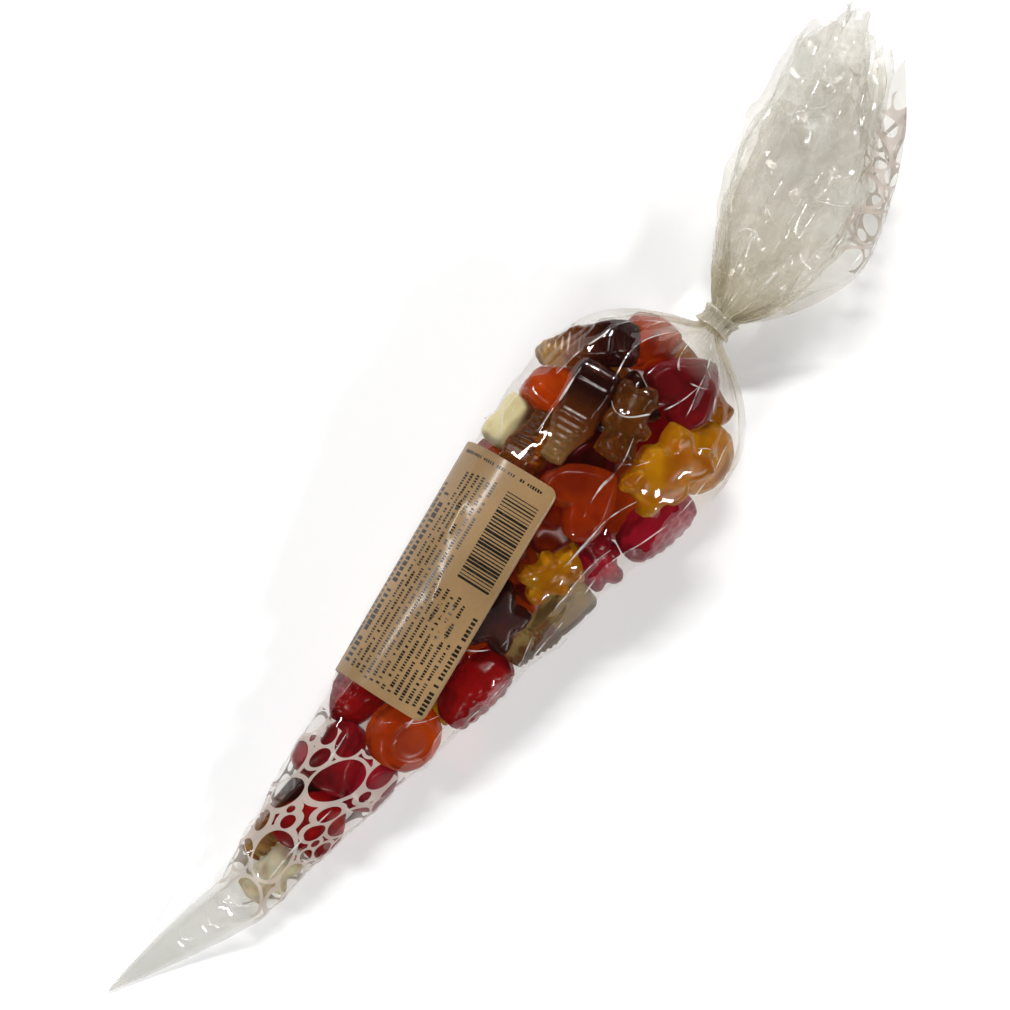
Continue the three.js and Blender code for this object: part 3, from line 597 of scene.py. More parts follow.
def jelly_material(tint):
    """Jelly of one colour. The cream one is foamed, and matt."""
    thin, deep, through = JELLY[tint]
    foam = tint == "cream"
    material, tree = new_material("Foamed gelatine" if foam else "Gelatine jelly, " + tint)
    where = add_node(tree, "ShaderNodeTexCoord").outputs["Object"]
    cloud = add_node(tree, "ShaderNodeTexNoise", {"Vector": where}, Scale=95, Detail=2)
    tone = add_node(tree, "ShaderNodeValToRGB", {"Fac": cloud.outputs["Fac"]}, ((0.38, deep), (0.66, thin)))
    skin = add_node(tree, "ShaderNodeTexNoise", {"Vector": where}, Scale=650, Detail=3)
    bump = add_node(tree, "ShaderNodeBump", {"Height": skin.outputs["Fac"]}, Strength=0.08, Distance=0.0002)
    shader = add_node(
        tree, "ShaderNodeBsdfPrincipled", {"Base Color": tone.outputs[0], "Normal": bump.outputs["Normal"]},
        Roughness=0.55 if foam else 0.26,
        Subsurface_Radius=(0.6, 0.45, 0.3) if foam else (1.0, 0.35, 0.2),
        Transmission_Weight=through,
        **JELLY_BODY,
    )
    add_node(tree, "ShaderNodeOutputMaterial", {"Surface": shader.outputs[0]})
    return material


def bottle_material():
    """Two-tone cola jelly, poured in two layers that run together: dark, then amber, then nearly clear."""
    material, tree = new_material("Gelatine jelly, two-tone cola")
    along = add_node(tree, "ShaderNodeAttribute", attribute_name="along")
    stops = ((0.12, "#CDA566"), (0.4, "#A0581A"), (0.72, "#48140A"))
    tone = add_node(tree, "ShaderNodeValToRGB", {"Fac": along.outputs["Fac"]}, stops)
    shader = add_node(
        tree, "ShaderNodeBsdfPrincipled", {"Base Color": tone.outputs[0]},
        Roughness=0.22, Subsurface_Radius=(1.0, 0.45, 0.2), Transmission_Weight=0.7, **JELLY_BODY,
    )
    add_node(tree, "ShaderNodeOutputMaterial", {"Surface": shader.outputs[0]})
    return material


# The sweets


def applied(source, *modifiers):
    """A plain mesh of source with modifiers applied. Each modifier is its type and its settings."""
    for kind, settings in modifiers:
        modifier = source.modifiers.new(kind, kind)
        for key, value in settings.items():
            setattr(modifier, key, value)
    evaluated = source.evaluated_get(bpy.context.evaluated_depsgraph_get())
    mesh = bpy.data.meshes.new_from_object(evaluated)
    bpy.data.objects.remove(source)
    return mesh


def rounded_sweet(node):
    """The CAD sweet as soft jelly: its edges and the flats where it is pressed are rounded off."""
    copy = bpy.data.objects.new(node.name + "_rounding", node.data.copy())
    bpy.context.scene.collection.objects.link(copy)
    return applied(
        copy,
        ("WELD", {"merge_threshold": 1e-6}),
        ("REMESH", {"mode": "VOXEL", "voxel_size": sizes().voxel, "adaptivity": 0.0}),
        ("SMOOTH", {"factor": 0.6, "iterations": 9}),
    )


def vertex_arrays(mesh):
    count = len(mesh.vertices)
    points = np.empty(count * 3)
    normals = np.empty(count * 3)
    mesh.vertices.foreach_get("co", points)
    mesh.vertex_normals.foreach_get("vector", normals)
    return points.reshape(-1, 3), normals.reshape(-1, 3)


def sweet_axes(points):
    """A sweet's middle, its axes from long to thin, and each point as a share of its half sizes."""
    middle = (points.min(axis=0) + points.max(axis=0)) / 2
    spread = points - points.mean(axis=0)
    _, axes = np.linalg.eigh(spread.T @ spread)
    axes = axes[:, ::-1]
    local = (points - middle) @ axes
    local -= (local.min(axis=0) + local.max(axis=0)) / 2
    half = np.abs(local).max(axis=0)
    share = local / half
    wide_end = np.abs(share[share[:, 0] > 0.4, 1]).mean() > np.abs(share[share[:, 0] < -0.4, 1]).mean()
    if wide_end:
        axes[:, 0] *= -1
        local[:, 0] *= -1
        share[:, 0] *= -1
    return axes, local, share


def hump(share, along, across, reach):
    """A round rise on a sweet's faces, at a place given as shares of its half sizes."""
    away = ((share[:, 0] - along) ** 2 + (np.abs(share[:, 1]) - across) ** 2) / reach**2
    return np.exp(-away)


def relief(kind, local, share):
    """Height of the mould's relief over a sweet's two faces, in metres. The narrow end is up."""
    if kind in ("bear", "cub"):
        body = 1.0 * hump(share, -0.15, 0, 0.36) + 0.9 * hump(share, 0.62, 0, 0.26)
        limbs = 0.8 * hump(share, 0.12, 0.72, 0.2) + 0.8 * hump(share, -0.72, 0.5, 0.24)
        face = 0.5 * hump(share, 0.58, 0.2, 0.07) + 0.5 * hump(share, 0.46, 0, 0.09)
        return 0.0012 * (body + limbs + face) - 0.0008
    if kind == "frog":
        body = 1.0 * hump(share, -0.1, 0, 0.45) + 0.9 * hump(share, 0.72, 0.42, 0.2)
        return 0.0013 * (body + 0.6 * hump(share, -0.7, 0.7, 0.25)) - 0.0008
    if kind == "berry":
        pitch = 0.0036
        a = local[:, 0] / pitch
        b = local[:, 1] / pitch
        shifted = b + 0.5 * np.round(a)
        dots = np.cos(np.pi * (a - np.round(a))) * np.cos(np.pi * (shifted - np.round(shifted)))
        return 0.0006 * dots - 0.0003
    if kind == "bottle":
        ribs = 0.00035 * np.cos(TWO_PI * local[:, 0] / 0.0021) * ease((share[:, 0] - 0.05) / 0.1)
        groove = -0.0005 * np.exp(-(((share[:, 0] + 0.02) / 0.035) ** 2))
        return ribs + groove - 0.0005 * np.exp(-(((share[:, 0] + 0.62) / 0.035) ** 2))
    if kind == "round":
        far = np.hypot(share[:, 0], share[:, 1])
        return 0.0006 * np.exp(-(((far - 0.62) / 0.12) ** 2)) - 0.0003
    if kind == "heart":
        return -0.0006 * np.exp(-((share[:, 1] / 0.12) ** 2)) * ease((share[:, 0] + 0.2) / 0.4)
    return np.zeros(len(share))


class CANDYCONE_OT_sweets(bpy.types.Operator):
    """Rounds every sweet and gives it its mould's relief and its jelly"""

    bl_idname = "candy_cone.sweets"
    bl_label = "Jelly sweets"

    def execute(self, context):
        materials = {tint: jelly_material(tint) for tint in JELLY}
        two_tone = bottle_material()
        for name in sorted(frame["nodes"]):
            kind, _, rest = name.partition("_")
            tint = rest.partition("_")[0]
            if tint not in JELLY:
                continue
            mesh = rounded_sweet(frame["nodes"][name])
            points, normals = vertex_arrays(mesh)
            axes, local, share = sweet_axes(points)
            faces = np.abs(normals @ axes[:, 2]) ** 2
            points = points + normals * (relief(kind, local, share) * faces)[:, None]
            mesh.vertices.foreach_set("co", points.ravel())
            if kind == "bottle":
                along = mesh.attributes.new("along", "FLOAT", "POINT")
                along.data.foreach_set("value", 0.5 - 0.5 * share[:, 0])
            mesh.shade_smooth()
            material = two_tone if kind == "bottle" and tint == "cola" else materials[SMOKED.get(name, tint)]
            new_piece("sweet_" + name, mesh, material, "jelly_" + tint, name)
        return {"FINISHED"}


# The film

# The grids that the film is made on.
BODY_ROWS, BODY_COLUMNS = 330, 288
MOUTH_ROWS, MOUTH_COLUMNS = 170, 420
FILM_SEED = 11
SWEETS_START = -0.012  # no sweet lies nearer to the tip than this, from the bend
RAY_START = 1.3  # rays toward the sweets start this far out, as a share of the bag's form
# Small folds that run from the neck: how many, and how long the longest is.
BODY_GATHERS, MOUTH_GATHERS = (29, 0.055), (21, 0.03)
# Short creases: how many, between which distances from the bend, and how long the longest is.
BODY_SHORT_CREASES = (40, 0.004, NECK_START - 0.004, 0.024)
MOUTH_SHORT_CREASES = (26, NECK_END + 0.006, NECK_END + 0.08, 0.016)
# Each layer of the loose film: its width, place aside and height as shares of the bag's, and how much more it
# is crumpled than the outer one. The other two lie folded in inside it.
OUTER_LAYER = (1, 0, 1, 1)
FOLDED_IN = ((0.84, -0.13, 0.8, 1.8), (0.7, -0.16, 0.5, 2.2))
# The film's looks: haze, roughness, the share that it mirrors head on, and whether layers lie together.
FILMS = {
    "drawn tight": (0.0006, 0.04, 0.04, False),
    "loose": (0.06, 0.14, 0.03, True),
    "crumpled": (0.13, 0.3, 0.02, True),
}
SKIN_ROUNDS, SKIN_PULL = 260, 0.0003  # how the film is drawn tight over the sweets
SKIN_CLEARANCE = 0.00025
TIGHT_REACH = 0.02  # the film turns from loose to tight over this length above the bend
CREASE_STEP, CREASE_FADE, CREASE_REACH = 0.0006, 0.0011, 0.0045
TIP_REACH = 0.01  # creases fade out over this length at the tip
BODY_FACET, BODY_FACET_HEIGHT = 0.012, 0.0005
FACETS_FROM, FACETS_GROW = 0.006, 0.014  # half width where facets start to grow, and over which they do
# Facets of the loose film: their share of its crumple, and their size.
MOUTH_FACETS = ((1.1, 0.021), (0.5, 0.01))
# Corners of the mouth's edge: how far each stands out, at which angle and how wide.
MOUTH_CORNERS = ((0.012, 0.42, 0.13), (0.005, 2.1, 0.06))
MOUTH_LOBES = 0.0022
# Strips over the creases, white with painted glints: widths of the long and the short ones, their rise and
# their lift off the film.
LONG_RIBBON, SHORT_RIBBON, RIBBON_RISE, RIBBON_LIFT = 0.0008, 0.0004, 0.0002, 0.00003
# The weld seam's strip, whitened film with a painted glint along it: its width and rise.
WELD_WIDTH, WELD_RISE = 0.0005, 0.0003
SURFACES = {}
RUNS = {}


def sweets_tree():
    """All the sweets as one tree, for the film to be drawn over."""
    vertices, faces = [], []
    for piece in bpy.context.scene.objects:
        if piece.name.startswith("sweet_"):
            points, _ = vertex_arrays(piece.data)
            start = sum(len(v) for v in vertices)
            vertices.append(points)
            for polygon in piece.data.polygons:
                faces.append([start + i for i in polygon.vertices])
    return BVHTree.FromPolygons(np.vstack(vertices).tolist(), faces)


def reach_of_sweets(tree, y, angle):
    """How far out the sweets reach in each direction from the bag's axis, as a share of the bag's form."""
    x, half, z, deep = bag_section(y)
    reach = np.zeros((len(y), len(angle)))
    for i in np.flatnonzero((y > SWEETS_START) & (y < NECK_START)):
        axis = Vector((x[i] + BEND_X, y[i] + BEND_Y, z[i]))
        for j, a in enumerate(angle):
            out = Vector((half[i] * math.cos(a), 0, deep[i] * math.sin(a)))
            hit, _, _, distance = tree.ray_cast(axis + RAY_START * out, -out, RAY_START * out.length)
            if hit is not None:
                reach[i, j] = RAY_START - distance / out.length
    return reach


def drawn_over(reach, rows_apart, columns_apart):
    """A tight skin over the sweets: every point settles between its neighbours, but not into a sweet."""
    skin = np.ones_like(reach)
    along = columns_apart**2 / (rows_apart**2 + columns_apart**2)
    for _ in range(SKIN_ROUNDS):
        ends = np.vstack([skin[:1], skin, skin[-1:]])
        mean_along = (ends[:-2] + ends[2:]) / 2
        mean_around = (np.roll(skin, 1, axis=1) + np.roll(skin, -1, axis=1)) / 2
        skin = np.maximum(reach, mean_along * along + mean_around * (1 - along) - SKIN_PULL)
    return skin


def fine_gathers(rng, y, angle, folds, longest):
    """Small folds that run from the neck and die out: how far the film lies in, as a share."""
    total = np.zeros((len(y), len(angle)))
    distance = np.abs(y - (NECK_START + NECK_LENGTH / 2))[:, None]
    for place in (np.arange(folds) + rng.uniform(-0.4, 0.4, folds)) * TWO_PI / folds:
        run = longest * rng.uniform(0.25, 1) ** 1.5 + NECK_LENGTH / 2
        width = TWO_PI / folds * rng.uniform(0.25, 0.6)
        drift = rng.uniform(-0.12, 0.12)
        fade = np.clip(1 - distance / run, 0, 1)
        away = angle_off(angle[None, :], place + drift * (1 - fade))
        total += rng.uniform(0.05, 0.13) * fade**1.3 * np.clip(1 - np.abs(away) / width, 0, 1)
    return total


def bezier(points, count):
    """A smooth run of places through the middles of a list of given places, from its first to its last."""
    points = np.asarray(points, float)
    bends = points[1:-1]
    t = np.linspace(0, 1, count)[:, None]
    parts = []
    for i, bend in enumerate(bends):
        start = points[0] if i == 0 else (points[i] + points[i + 1]) / 2
        end = points[-1] if i == len(bends) - 1 else (points[i + 1] + points[i + 2]) / 2
        parts.append((1 - t) ** 2 * start + 2 * t * (1 - t) * bend + t**2 * end)
    return np.vstack([part[: None if i == len(parts) - 1 else -1] for i, part in enumerate(parts)])


# Long creases, as places from the bend in millimetres and angles round the bag in degrees (90 is its top).
BODY_CREASES = (
    [(212, 112), (203, 119), (190, 114), (179, 104), (178, 95), (182, 88), (191, 78), (199, 74)],
    [(213, 100), (206, 97), (200, 92), (197, 80), (203, 58)],
    [(213, 76), (207, 73), (198, 74), (190, 70)],
    [(213, 58), (208, 57), (201, 60), (196, 56)],
    [(212, 130), (203, 139), (190, 134), (176, 138)],
    [(211, 148), (202, 152), (191, 146)],
    [(210, 165), (199, 160), (184, 163)],
    [(186, 128), (172, 122), (160, 124)],
    [(176, 84), (166, 78), (158, 80), (150, 74)],
    [(163, 60), (150, 66), (141, 60), (128, 62)],
    [(148, 46), (136, 50), (122, 44)],
    [(104, 62), (97, 80), (100, 96), (95, 108)],
    [(86, 70), (70, 74), (60, 66)],
    [(58, 110), (44, 104), (30, 112)],
    [(38, 70), (24, 78), (8, 72)],
    [(3, 62), (-3, 84), (-2, 108), (-9, 122)],
    [(-9, 58), (-14, 82), (-11, 104)],
    [(-18, 74), (-23, 94), (-20, 116)],
)
WELD = [
    (213, 44), (203, 33), (196, 36), (186, 37), (174, 33), (157, 31), (146, 39), (133, 30),
    (116, 27), (99, 29), (81, 25), (70, 21), (52, 13), (40, 8), (20, 4), (0, 2), (-20, 0), (-42, 0),
]
MOUTH_CREASES = (
    [(228, 70), (236, 78), (246, 74)],
    [(262, 150), (256, 136), (259, 122)],
    [(284, 146), (276, 132), (280, 116), (272, 108)],
    [(296, 128), (288, 112), (292, 98)],
    [(252, 92), (247, 106), (253, 118)],
    [(276, 66), (268, 74), (271, 90)],
    [(240, 130), (246, 118), (243, 104)],
)


def run_of(points, count):
    """A smooth run through places given in millimetres and degrees."""
    return bezier([(y / 1000, math.radians(angle)) for y, angle in points], count)


def crease_runs(rng, chosen, count, low, high, longest):
    """Creases as runs of places (distance from the bend, angle): the chosen ones, and short random ones."""
    runs = [run_of(points, 12) for points in chosen]
    for _ in range(count):
        y, angle = rng.uniform(low, high), rng.uniform(0, TWO_PI)
        _, half, _, deep = bag_section(y)
        radius = float(half + deep) / 2
        heading = rng.normal(0, 0.5) if rng.uniform() < 0.6 else rng.uniform(0, TWO_PI)
        places = [(y, angle)]
        step = rng.uniform(0.3, 1) * longest / 3
        for _ in range(3):
            y = min(max(y - step * math.cos(heading), low), high)
            angle += step * math.sin(heading) / max(radius, 0.003)
            heading += rng.normal(0, 0.45)
            places.append((y, angle))
        runs.append(bezier(places, 8))
    return runs


def raised_along(height, y, angle, runs, rise):
    """Raises the film in a ridge along each crease."""
    _, half, _, deep = bag_section(y)
    radius = (half + deep) / 2
    for run in runs:
        middle = float(np.interp(run[:, 0].mean(), y, radius))
        steps = np.hypot(np.diff(run[:, 0]), np.diff(run[:, 1]) * middle)
        passed = np.concatenate([[0], np.cumsum(steps)])
        even = np.linspace(0, passed[-1], max(int(passed[-1] / CREASE_STEP), 2))
        run = np.stack([np.interp(even, passed, run[:, 0]), np.interp(even, passed, run[:, 1])], axis=1)
        for n, (at, turn) in enumerate(run):
            near = np.flatnonzero(np.abs(y - at) < CREASE_REACH)
            off = angle_off(angle, turn)[None, :]
            away = np.hypot((y[near] - at)[:, None], off * radius[near][:, None])
            fade = math.sin(math.pi * (n + 0.7) / (len(run) + 0.4)) ** 0.6
            height[near] = np.maximum(height[near], rise * fade * np.exp(-away / CREASE_FADE))
    return height


def held_by_label(y, angle):
    """Where the film is smooth because the paper label holds it out: 1 under the label, 0 away from it."""
    margin = 0.004
    _, half, _, deep = bag_section(y)
    label_y, label_angle = label_place(np.array([[0.5]]), np.array([[0.5]]))
    near_y = (y[:, None] - label_y) / (0.5 * LABEL_LENGTH + margin)
    turn = angle_off(angle[None, :], label_angle)
    near_turn = turn * (half[:, None] + deep[:, None]) / 2 / (0.5 * LABEL_WIDTH + margin)
    return ease(4 * (1 - np.abs(near_y))) * ease(4 * (1 - np.abs(near_turn)))


def body_surface():
    """The film from its tip to the neck, drawn over the sweets, creased, and gathered at the shoulder."""
    rng = np.random.default_rng(FILM_SEED)
    y = np.linspace(-TAIL_LENGTH, NECK_START + 0.7 * NECK_LENGTH, BODY_ROWS)
    angle = np.arange(BODY_COLUMNS) * TWO_PI / BODY_COLUMNS
    x, half, z, deep = bag_section(y)
    reach = reach_of_sweets(sweets_tree(), y, angle)
    reach = np.where(reach > 0, reach + SKIN_CLEARANCE / np.minimum(half, deep)[:, None], 0)
    perimeter = math.pi * (half + deep)
    skin = drawn_over(reach, y[1] - y[0], perimeter.mean() / BODY_COLUMNS)
    share = 1 + (skin - 1) * sizes().tightness * ease(y / TIGHT_REACH)[:, None]
    share = np.maximum(share, reach)

    held = held_by_label(y, angle)
    share = share + (1 - share) * held
    smooth = 1 - held

    share = share - main_folds(y, angle) - fine_gathers(rng, y, angle, *BODY_GATHERS)
    share = np.maximum(share, np.minimum(reach, 1))
    height = np.zeros_like(share)
    RUNS["body"] = crease_runs(rng, BODY_CREASES, *BODY_SHORT_CREASES)
    height = raised_along(height, y, angle, RUNS["body"], sizes().crease_height) * smooth
    height *= np.clip((y + TAIL_LENGTH) / TIP_REACH, 0, 1)[:, None]

    cos, sin = np.cos(angle)[None, :], np.sin(angle)[None, :]
    px = x[:, None] + (share * half[:, None] + height) * cos
    pz = z[:, None] + (share * deep[:, None] + height) * sin
    points = placed(px, y[:, None], pz)
    grows = smooth * np.clip(((half - FACETS_FROM) / FACETS_GROW)[:, None], 0.1, 1)
    facet = BODY_FACET_HEIGHT * facets(points, BODY_FACET, rng, 5)
    points += grid_normals(points) * (facet * grows)[..., None]
    points[..., 2] = np.maximum(points[..., 2], FLOOR_GAP)
    return Surface(y, points)


def mouth_edge(angle):
    """How far the mouth's edge falls short of the bag's full length, round the bag."""
    cos = np.cos(angle)
    step = np.arange(STEPS_ROUND)
    lobes = np.interp(angle, TWO_PI * step / STEPS_ROUND, 1 + np.sin(0.9 * step + 1), period=TWO_PI)
    drop = np.where(cos < 0, MOUTH_DROP_LEFT, MOUTH_DROP_RIGHT) * cos**2 + MOUTH_LOBES * lobes
    return drop - sum(out * np.exp(-(((angle - at) / wide) ** 2)) for out, at, wide in MOUTH_CORNERS)


def mouth_surface(seed, width, aside, height, rough):
    """One layer of the loose film above the neck: folded and crumpled, with an uneven edge."""
    rng = np.random.default_rng(seed)
    y = np.linspace(NECK_START + 0.3 * NECK_LENGTH, NECK_END + FLARE_LENGTH, MOUTH_ROWS)
    angle = np.arange(MOUTH_COLUMNS) * TWO_PI / MOUTH_COLUMNS
    x, half, z, deep = bag_section(y)
    up = np.clip((y - NECK_END) / FLARE_LENGTH, 0, 1)[:, None]
    outer = width == 1
    depth = main_folds(y, angle if outer else angle + seed)
    if not outer:
        depth = depth + (0.7 * softened(depth, 14) - depth) * ease(up / 0.25)
    share = 1 - depth - fine_gathers(rng, y, angle, *MOUTH_GATHERS)
    opened = ease(3 * up)
    wide = share * (1 + (width - 1) * opened)
    high = share * (1 + (height - 1) * opened)
    py = y[:, None] - mouth_edge(angle)[None, :] * up**3
    px = x[:, None] + half[:, None] * (wide * np.cos(angle) + aside * opened)
    pz = z[:, None] + high * deep[:, None] * np.sin(angle)
    points = placed(px, py, pz)
    # The outer layer's right edge is a smooth flap.
    flap = ease((1 - np.cos(angle - 0.05)) / 0.5)[None, :] if outer else 1.0
    runs = crease_runs(rng, MOUTH_CREASES, *MOUTH_SHORT_CREASES)
    ridge = raised_along(np.zeros_like(share), y, angle, runs, sizes().crease_height) * flap
    crumple = sum(part * facets(points, size, rng, 3) for part, size in MOUTH_FACETS)
    crumple = rough * sizes().crumple * crumple * ease(up / 0.2) * (0.12 + 0.88 * flap)
    points = points + grid_normals(points) * (ridge + crumple)[..., None]
    points[..., 2] = np.maximum(points[..., 2], FLOOR_GAP)
    RUNS["mouth"] = runs
    return Surface(y, points)


def ribbons_mesh(name, surface, runs, width, rise, uneven=True):
    """Thin raised threads along the creases and the weld, pointed at both ends, that carry their painted
    glints.
    """
    vertices, faces = [], []
    for run in runs:
        y, angle = run[:, 0], run[:, 1]
        line = surface.at(y, angle, np.zeros(len(y)))
        ahead = np.gradient(line, axis=0)
        out = surface.at(y, angle, np.full(len(y), 0.001)) - line
        side = np.cross(ahead, out)
        side /= np.maximum(np.linalg.norm(side, axis=1, keepdims=True), 1e-12)
        out /= np.maximum(np.linalg.norm(out, axis=1, keepdims=True), 1e-12)
        share = np.linspace(0.02, 0.98, len(y))
        # Unless even, a strip swells and thins along its length, like a painted glint that comes and goes.
        pulse = 0.3 + 0.7 * np.abs(np.sin(share * (2 + 5 * np.sin(40 * run[0, 1]) ** 2) + 9 * run[0, 0]))
        taper = (np.sin(share * math.pi) ** 0.7 * (pulse if uneven else 1))[:, None]
        base = len(vertices)
        left = line + side * taper * width / 2 + out * RIBBON_LIFT
        right = line - side * taper * width / 2 + out * RIBBON_LIFT
        top = line + out * (RIBBON_LIFT + rise * taper)
        for a, b, c in zip(left, top, right):
            vertices += [a, b, c]
        for i in range(len(y) - 1):
            n = base + 3 * i
            faces += [[n, n + 3, n + 4, n + 1], [n + 1, n + 4, n + 5, n + 2]]
    return new_mesh(name, vertices, faces)


class CANDYCONE_OT_film(bpy.types.Operator):
    """Draws the clear film over the sweets and crumples its loose end"""

    bl_idname = "candy_cone.film"
    bl_label = "Clear film"

    def execute(self, context):
        SURFACES["body"] = body_surface()
        layers = [mouth_surface(seed, *shape) for seed, shape in enumerate(FOLDED_IN, FILM_SEED + 2)]
        SURFACES["mouth"] = mouth_surface(FILM_SEED + 1, *OUTER_LAYER)
        looks = {look: film_material("Polypropylene film, " + look, *FILMS[look]) for look in FILMS}
        sheets = [("film_body", SURFACES["body"], "drawn tight"), ("film_mouth", SURFACES["mouth"], "loose")]
        sheets += [(f"film_folded_in_{number}", layer, "crumpled") for number, layer in enumerate(layers, 1)]
        for name, surface, look in sheets:
            mesh = grid_mesh(name, surface.points, closed_start=name == "film_body")
            new_piece(name, mesh, looks[look], "clear_film", "bag_film")
        # White strips along the creases are painted glints; the one along the weld is whitened seam with a
        # painted glint.
        white = glint_and_weld_material()
        for part, long in (("body", len(BODY_CREASES)), ("mouth", len(MOUTH_CREASES))):
            runs = RUNS[part]
            for reach, chosen, width in (
                ("long", runs[:long], LONG_RIBBON),
                ("short", runs[long:], SHORT_RIBBON),
            ):
                name = f"creases_{part}_{reach}"
                creases = ribbons_mesh(name, SURFACES[part], chosen, width, RIBBON_RISE)
                new_piece(name, creases, white, "clear_film")
        weld = [run_of(WELD, 8)]
        weld = ribbons_mesh("weld", SURFACES["body"], weld, WELD_WIDTH, WELD_RISE, uneven=False)
        new_piece("weld", weld, white, "clear_film")
        return {"FINISHED"}


# The print on the film

PRINT_SEED = 5
PRINT_STEP = 0.0003  # the grid that the ink is cut on
PRINT_LIFT = 0.0001
SMALLEST_RING, LOWER_RING, UPPER_RING = 0.001, 0.007, 0.0045  # radii, the last two the largest of each print
RING_TRIES = 460
PRINT_END = 0.058  # where the print at the lower end stops, from the bend


def packed_circles(rng, box, gap, smallest, largest, tries):
    """Circles that fill a box, each as large as its neighbours let it be: rows of x, y and radius."""
    circles = np.empty((0, 3))
    low, high = np.array(box[0]), np.array(box[1])
    for limit in np.repeat([largest, 0.7 * largest, 0.45 * largest, 2.2 * smallest], tries):
        place = rng.uniform(low, high)
        room = limit
        if len(circles):
            room = min(limit, (np.hypot(*(circles[:, :2] - place).T) - circles[:, 2]).min() - gap)
        if room > max(smallest, 0.55 * limit):
            circles = np.vstack([circles, [*place, room]])
    return circles


def print_field(rng, y, w, line, largest):
    """How deep a place on the film lies inside the printed web of rings, in metres: above 0 is ink."""
    u = 0.85 * y + 0.004 * np.sin(w / 0.013 + 0.6)
    v = 1.2 * w + 0.003 * np.sin(y / 0.009 + 2)
    box = (u.min(), v.min()), (u.max(), v.max())
    circles = packed_circles(rng, box, 0.5 * line, SMALLEST_RING, largest, RING_TRIES)
    nearest = np.full(u.shape, 1.0)
    for cu, cv, radius in circles:
        nearest = np.minimum(nearest, np.hypot(u - cu, v - cv) - radius)
    # The rings' lines run together into broad patches in places.
    spread = 0.75 + 0.75 * ease(0.5 + np.sin(u / 0.007 + 1) * np.sin(v / 0.006 + 4))
    return np.minimum(nearest, spread * line - nearest)


def clipped_grid(field, positions):
    """The part of a grid of triangles where a field is above 0, with its edges cut along the 0 line."""
    rows, columns = field.shape
    r, c = np.meshgrid(np.arange(rows - 1), np.arange(columns - 1), indexing="ij")
    a = (r * columns + c).ravel()
    corners = np.concatenate(
        [np.stack([a, a + columns + 1, a + 1], axis=1), np.stack([a, a + columns, a + columns + 1], axis=1)]
    )
    values = field.ravel()
    corners = corners[(values[corners] > 0).any(axis=1)]
    used = {}
    vertices, faces = [], []

    def vertex(i, j):
        key = (i, j) if i < j else (j, i)
        if key not in used:
            used[key] = len(vertices)
            if i == j:
                vertices.append(positions[i])
            else:
                share = values[i] / (values[i] - values[j])
                vertices.append(positions[i] + (positions[j] - positions[i]) * share)
        return used[key]

    for triangle in corners:
        face = []
        for n in range(3):
            i, j = int(triangle[n]), int(triangle[(n + 1) % 3])
            if values[i] > 0:
                face.append(vertex(i, i))
            if (values[i] > 0) != (values[j] > 0):
                face.append(vertex(i, j))
        faces.append(face)
    return vertices, faces


def printed_web(name, rng, surface, y_range, w_range, limit, line, largest):
    """The web of rings laid on the film between two distances from the bend and two places round it."""
    y = np.arange(*y_range, PRINT_STEP)[:, None]
    w = np.arange(*w_range, PRINT_STEP)[None, :]
    y, w = np.broadcast_arrays(y, w)
    field = np.minimum(print_field(rng, y, w, line, largest), limit(y, w))
    angle = angle_from(math.pi / 2, y, w)
    positions = surface.at(y, angle, np.full(y.shape, PRINT_LIFT)).reshape(-1, 3)
    vertices, faces = clipped_grid(field, positions)
    return new_mesh(name, vertices, faces)


def half_round(y):
    """Half the length of film round the bag, with a little to spare."""
    _, half, _, deep = bag_section(y)
    return math.pi / 2 * (half + deep) * 1.02


class CANDYCONE_OT_print(bpy.types.Operator):
    """Prints a web of rings on the film, at its lower end and at its mouth"""

    bl_idname = "candy_cone.film_print"
    bl_label = "Printed rings"

    def execute(self, context):
        rng = np.random.default_rng(PRINT_SEED)
        line = sizes().ink_line
        ink = ink_material()

        def lower_limit(y, w):
            return np.minimum(half_round(y) - np.abs(w), np.minimum(y + 0.003, PRINT_END - y))

        reach = float(half_round(PRINT_END))
        places = (-0.004, PRINT_END), (-reach, reach)
        lower = printed_web("print_lower", rng, SURFACES["body"], *places, lower_limit, line, LOWER_RING)
        new_piece("print_lower", lower, ink, "clear_film")

        start, end = NECK_END + 0.034, NECK_END + 0.086

        def upper_limit(y, w):
            return np.minimum(np.minimum(y - start, end - y), np.minimum(w + 0.056, -0.017 - w))

        places = (start, end), (-0.057, -0.016)
        fine = 0.8 * line
        upper = printed_web("print_upper", rng, SURFACES["mouth"], *places, upper_limit, fine, UPPER_RING)
        new_piece("print_upper", upper, ink, "clear_film")
        return {"FINISHED"}


# The label

LABEL_WIDTH, LABEL_LENGTH, LABEL_CORNER = 0.050, 0.077, 0.003
LABEL_START, LABEL_WRAP, LABEL_TURN = 0.069, 0.0115, math.radians(2.3)
LABEL_LIFT, LABEL_SHEET, LABEL_INK = 0.00035, 0.00012, 0.00004  # gap under the paper, paper, ink over it
LABEL_RIDGE = 0.0012
# Soft wrinkles that the paper shares with the film, given like the film's creases.
LABEL_RIDGES = (
    [(113, 118), (104, 114), (99, 104), (96, 92), (90, 84)],
    [(108, 100), (101, 97), (96, 88)],
    [(132, 140), (126, 132), (119, 136)],
)


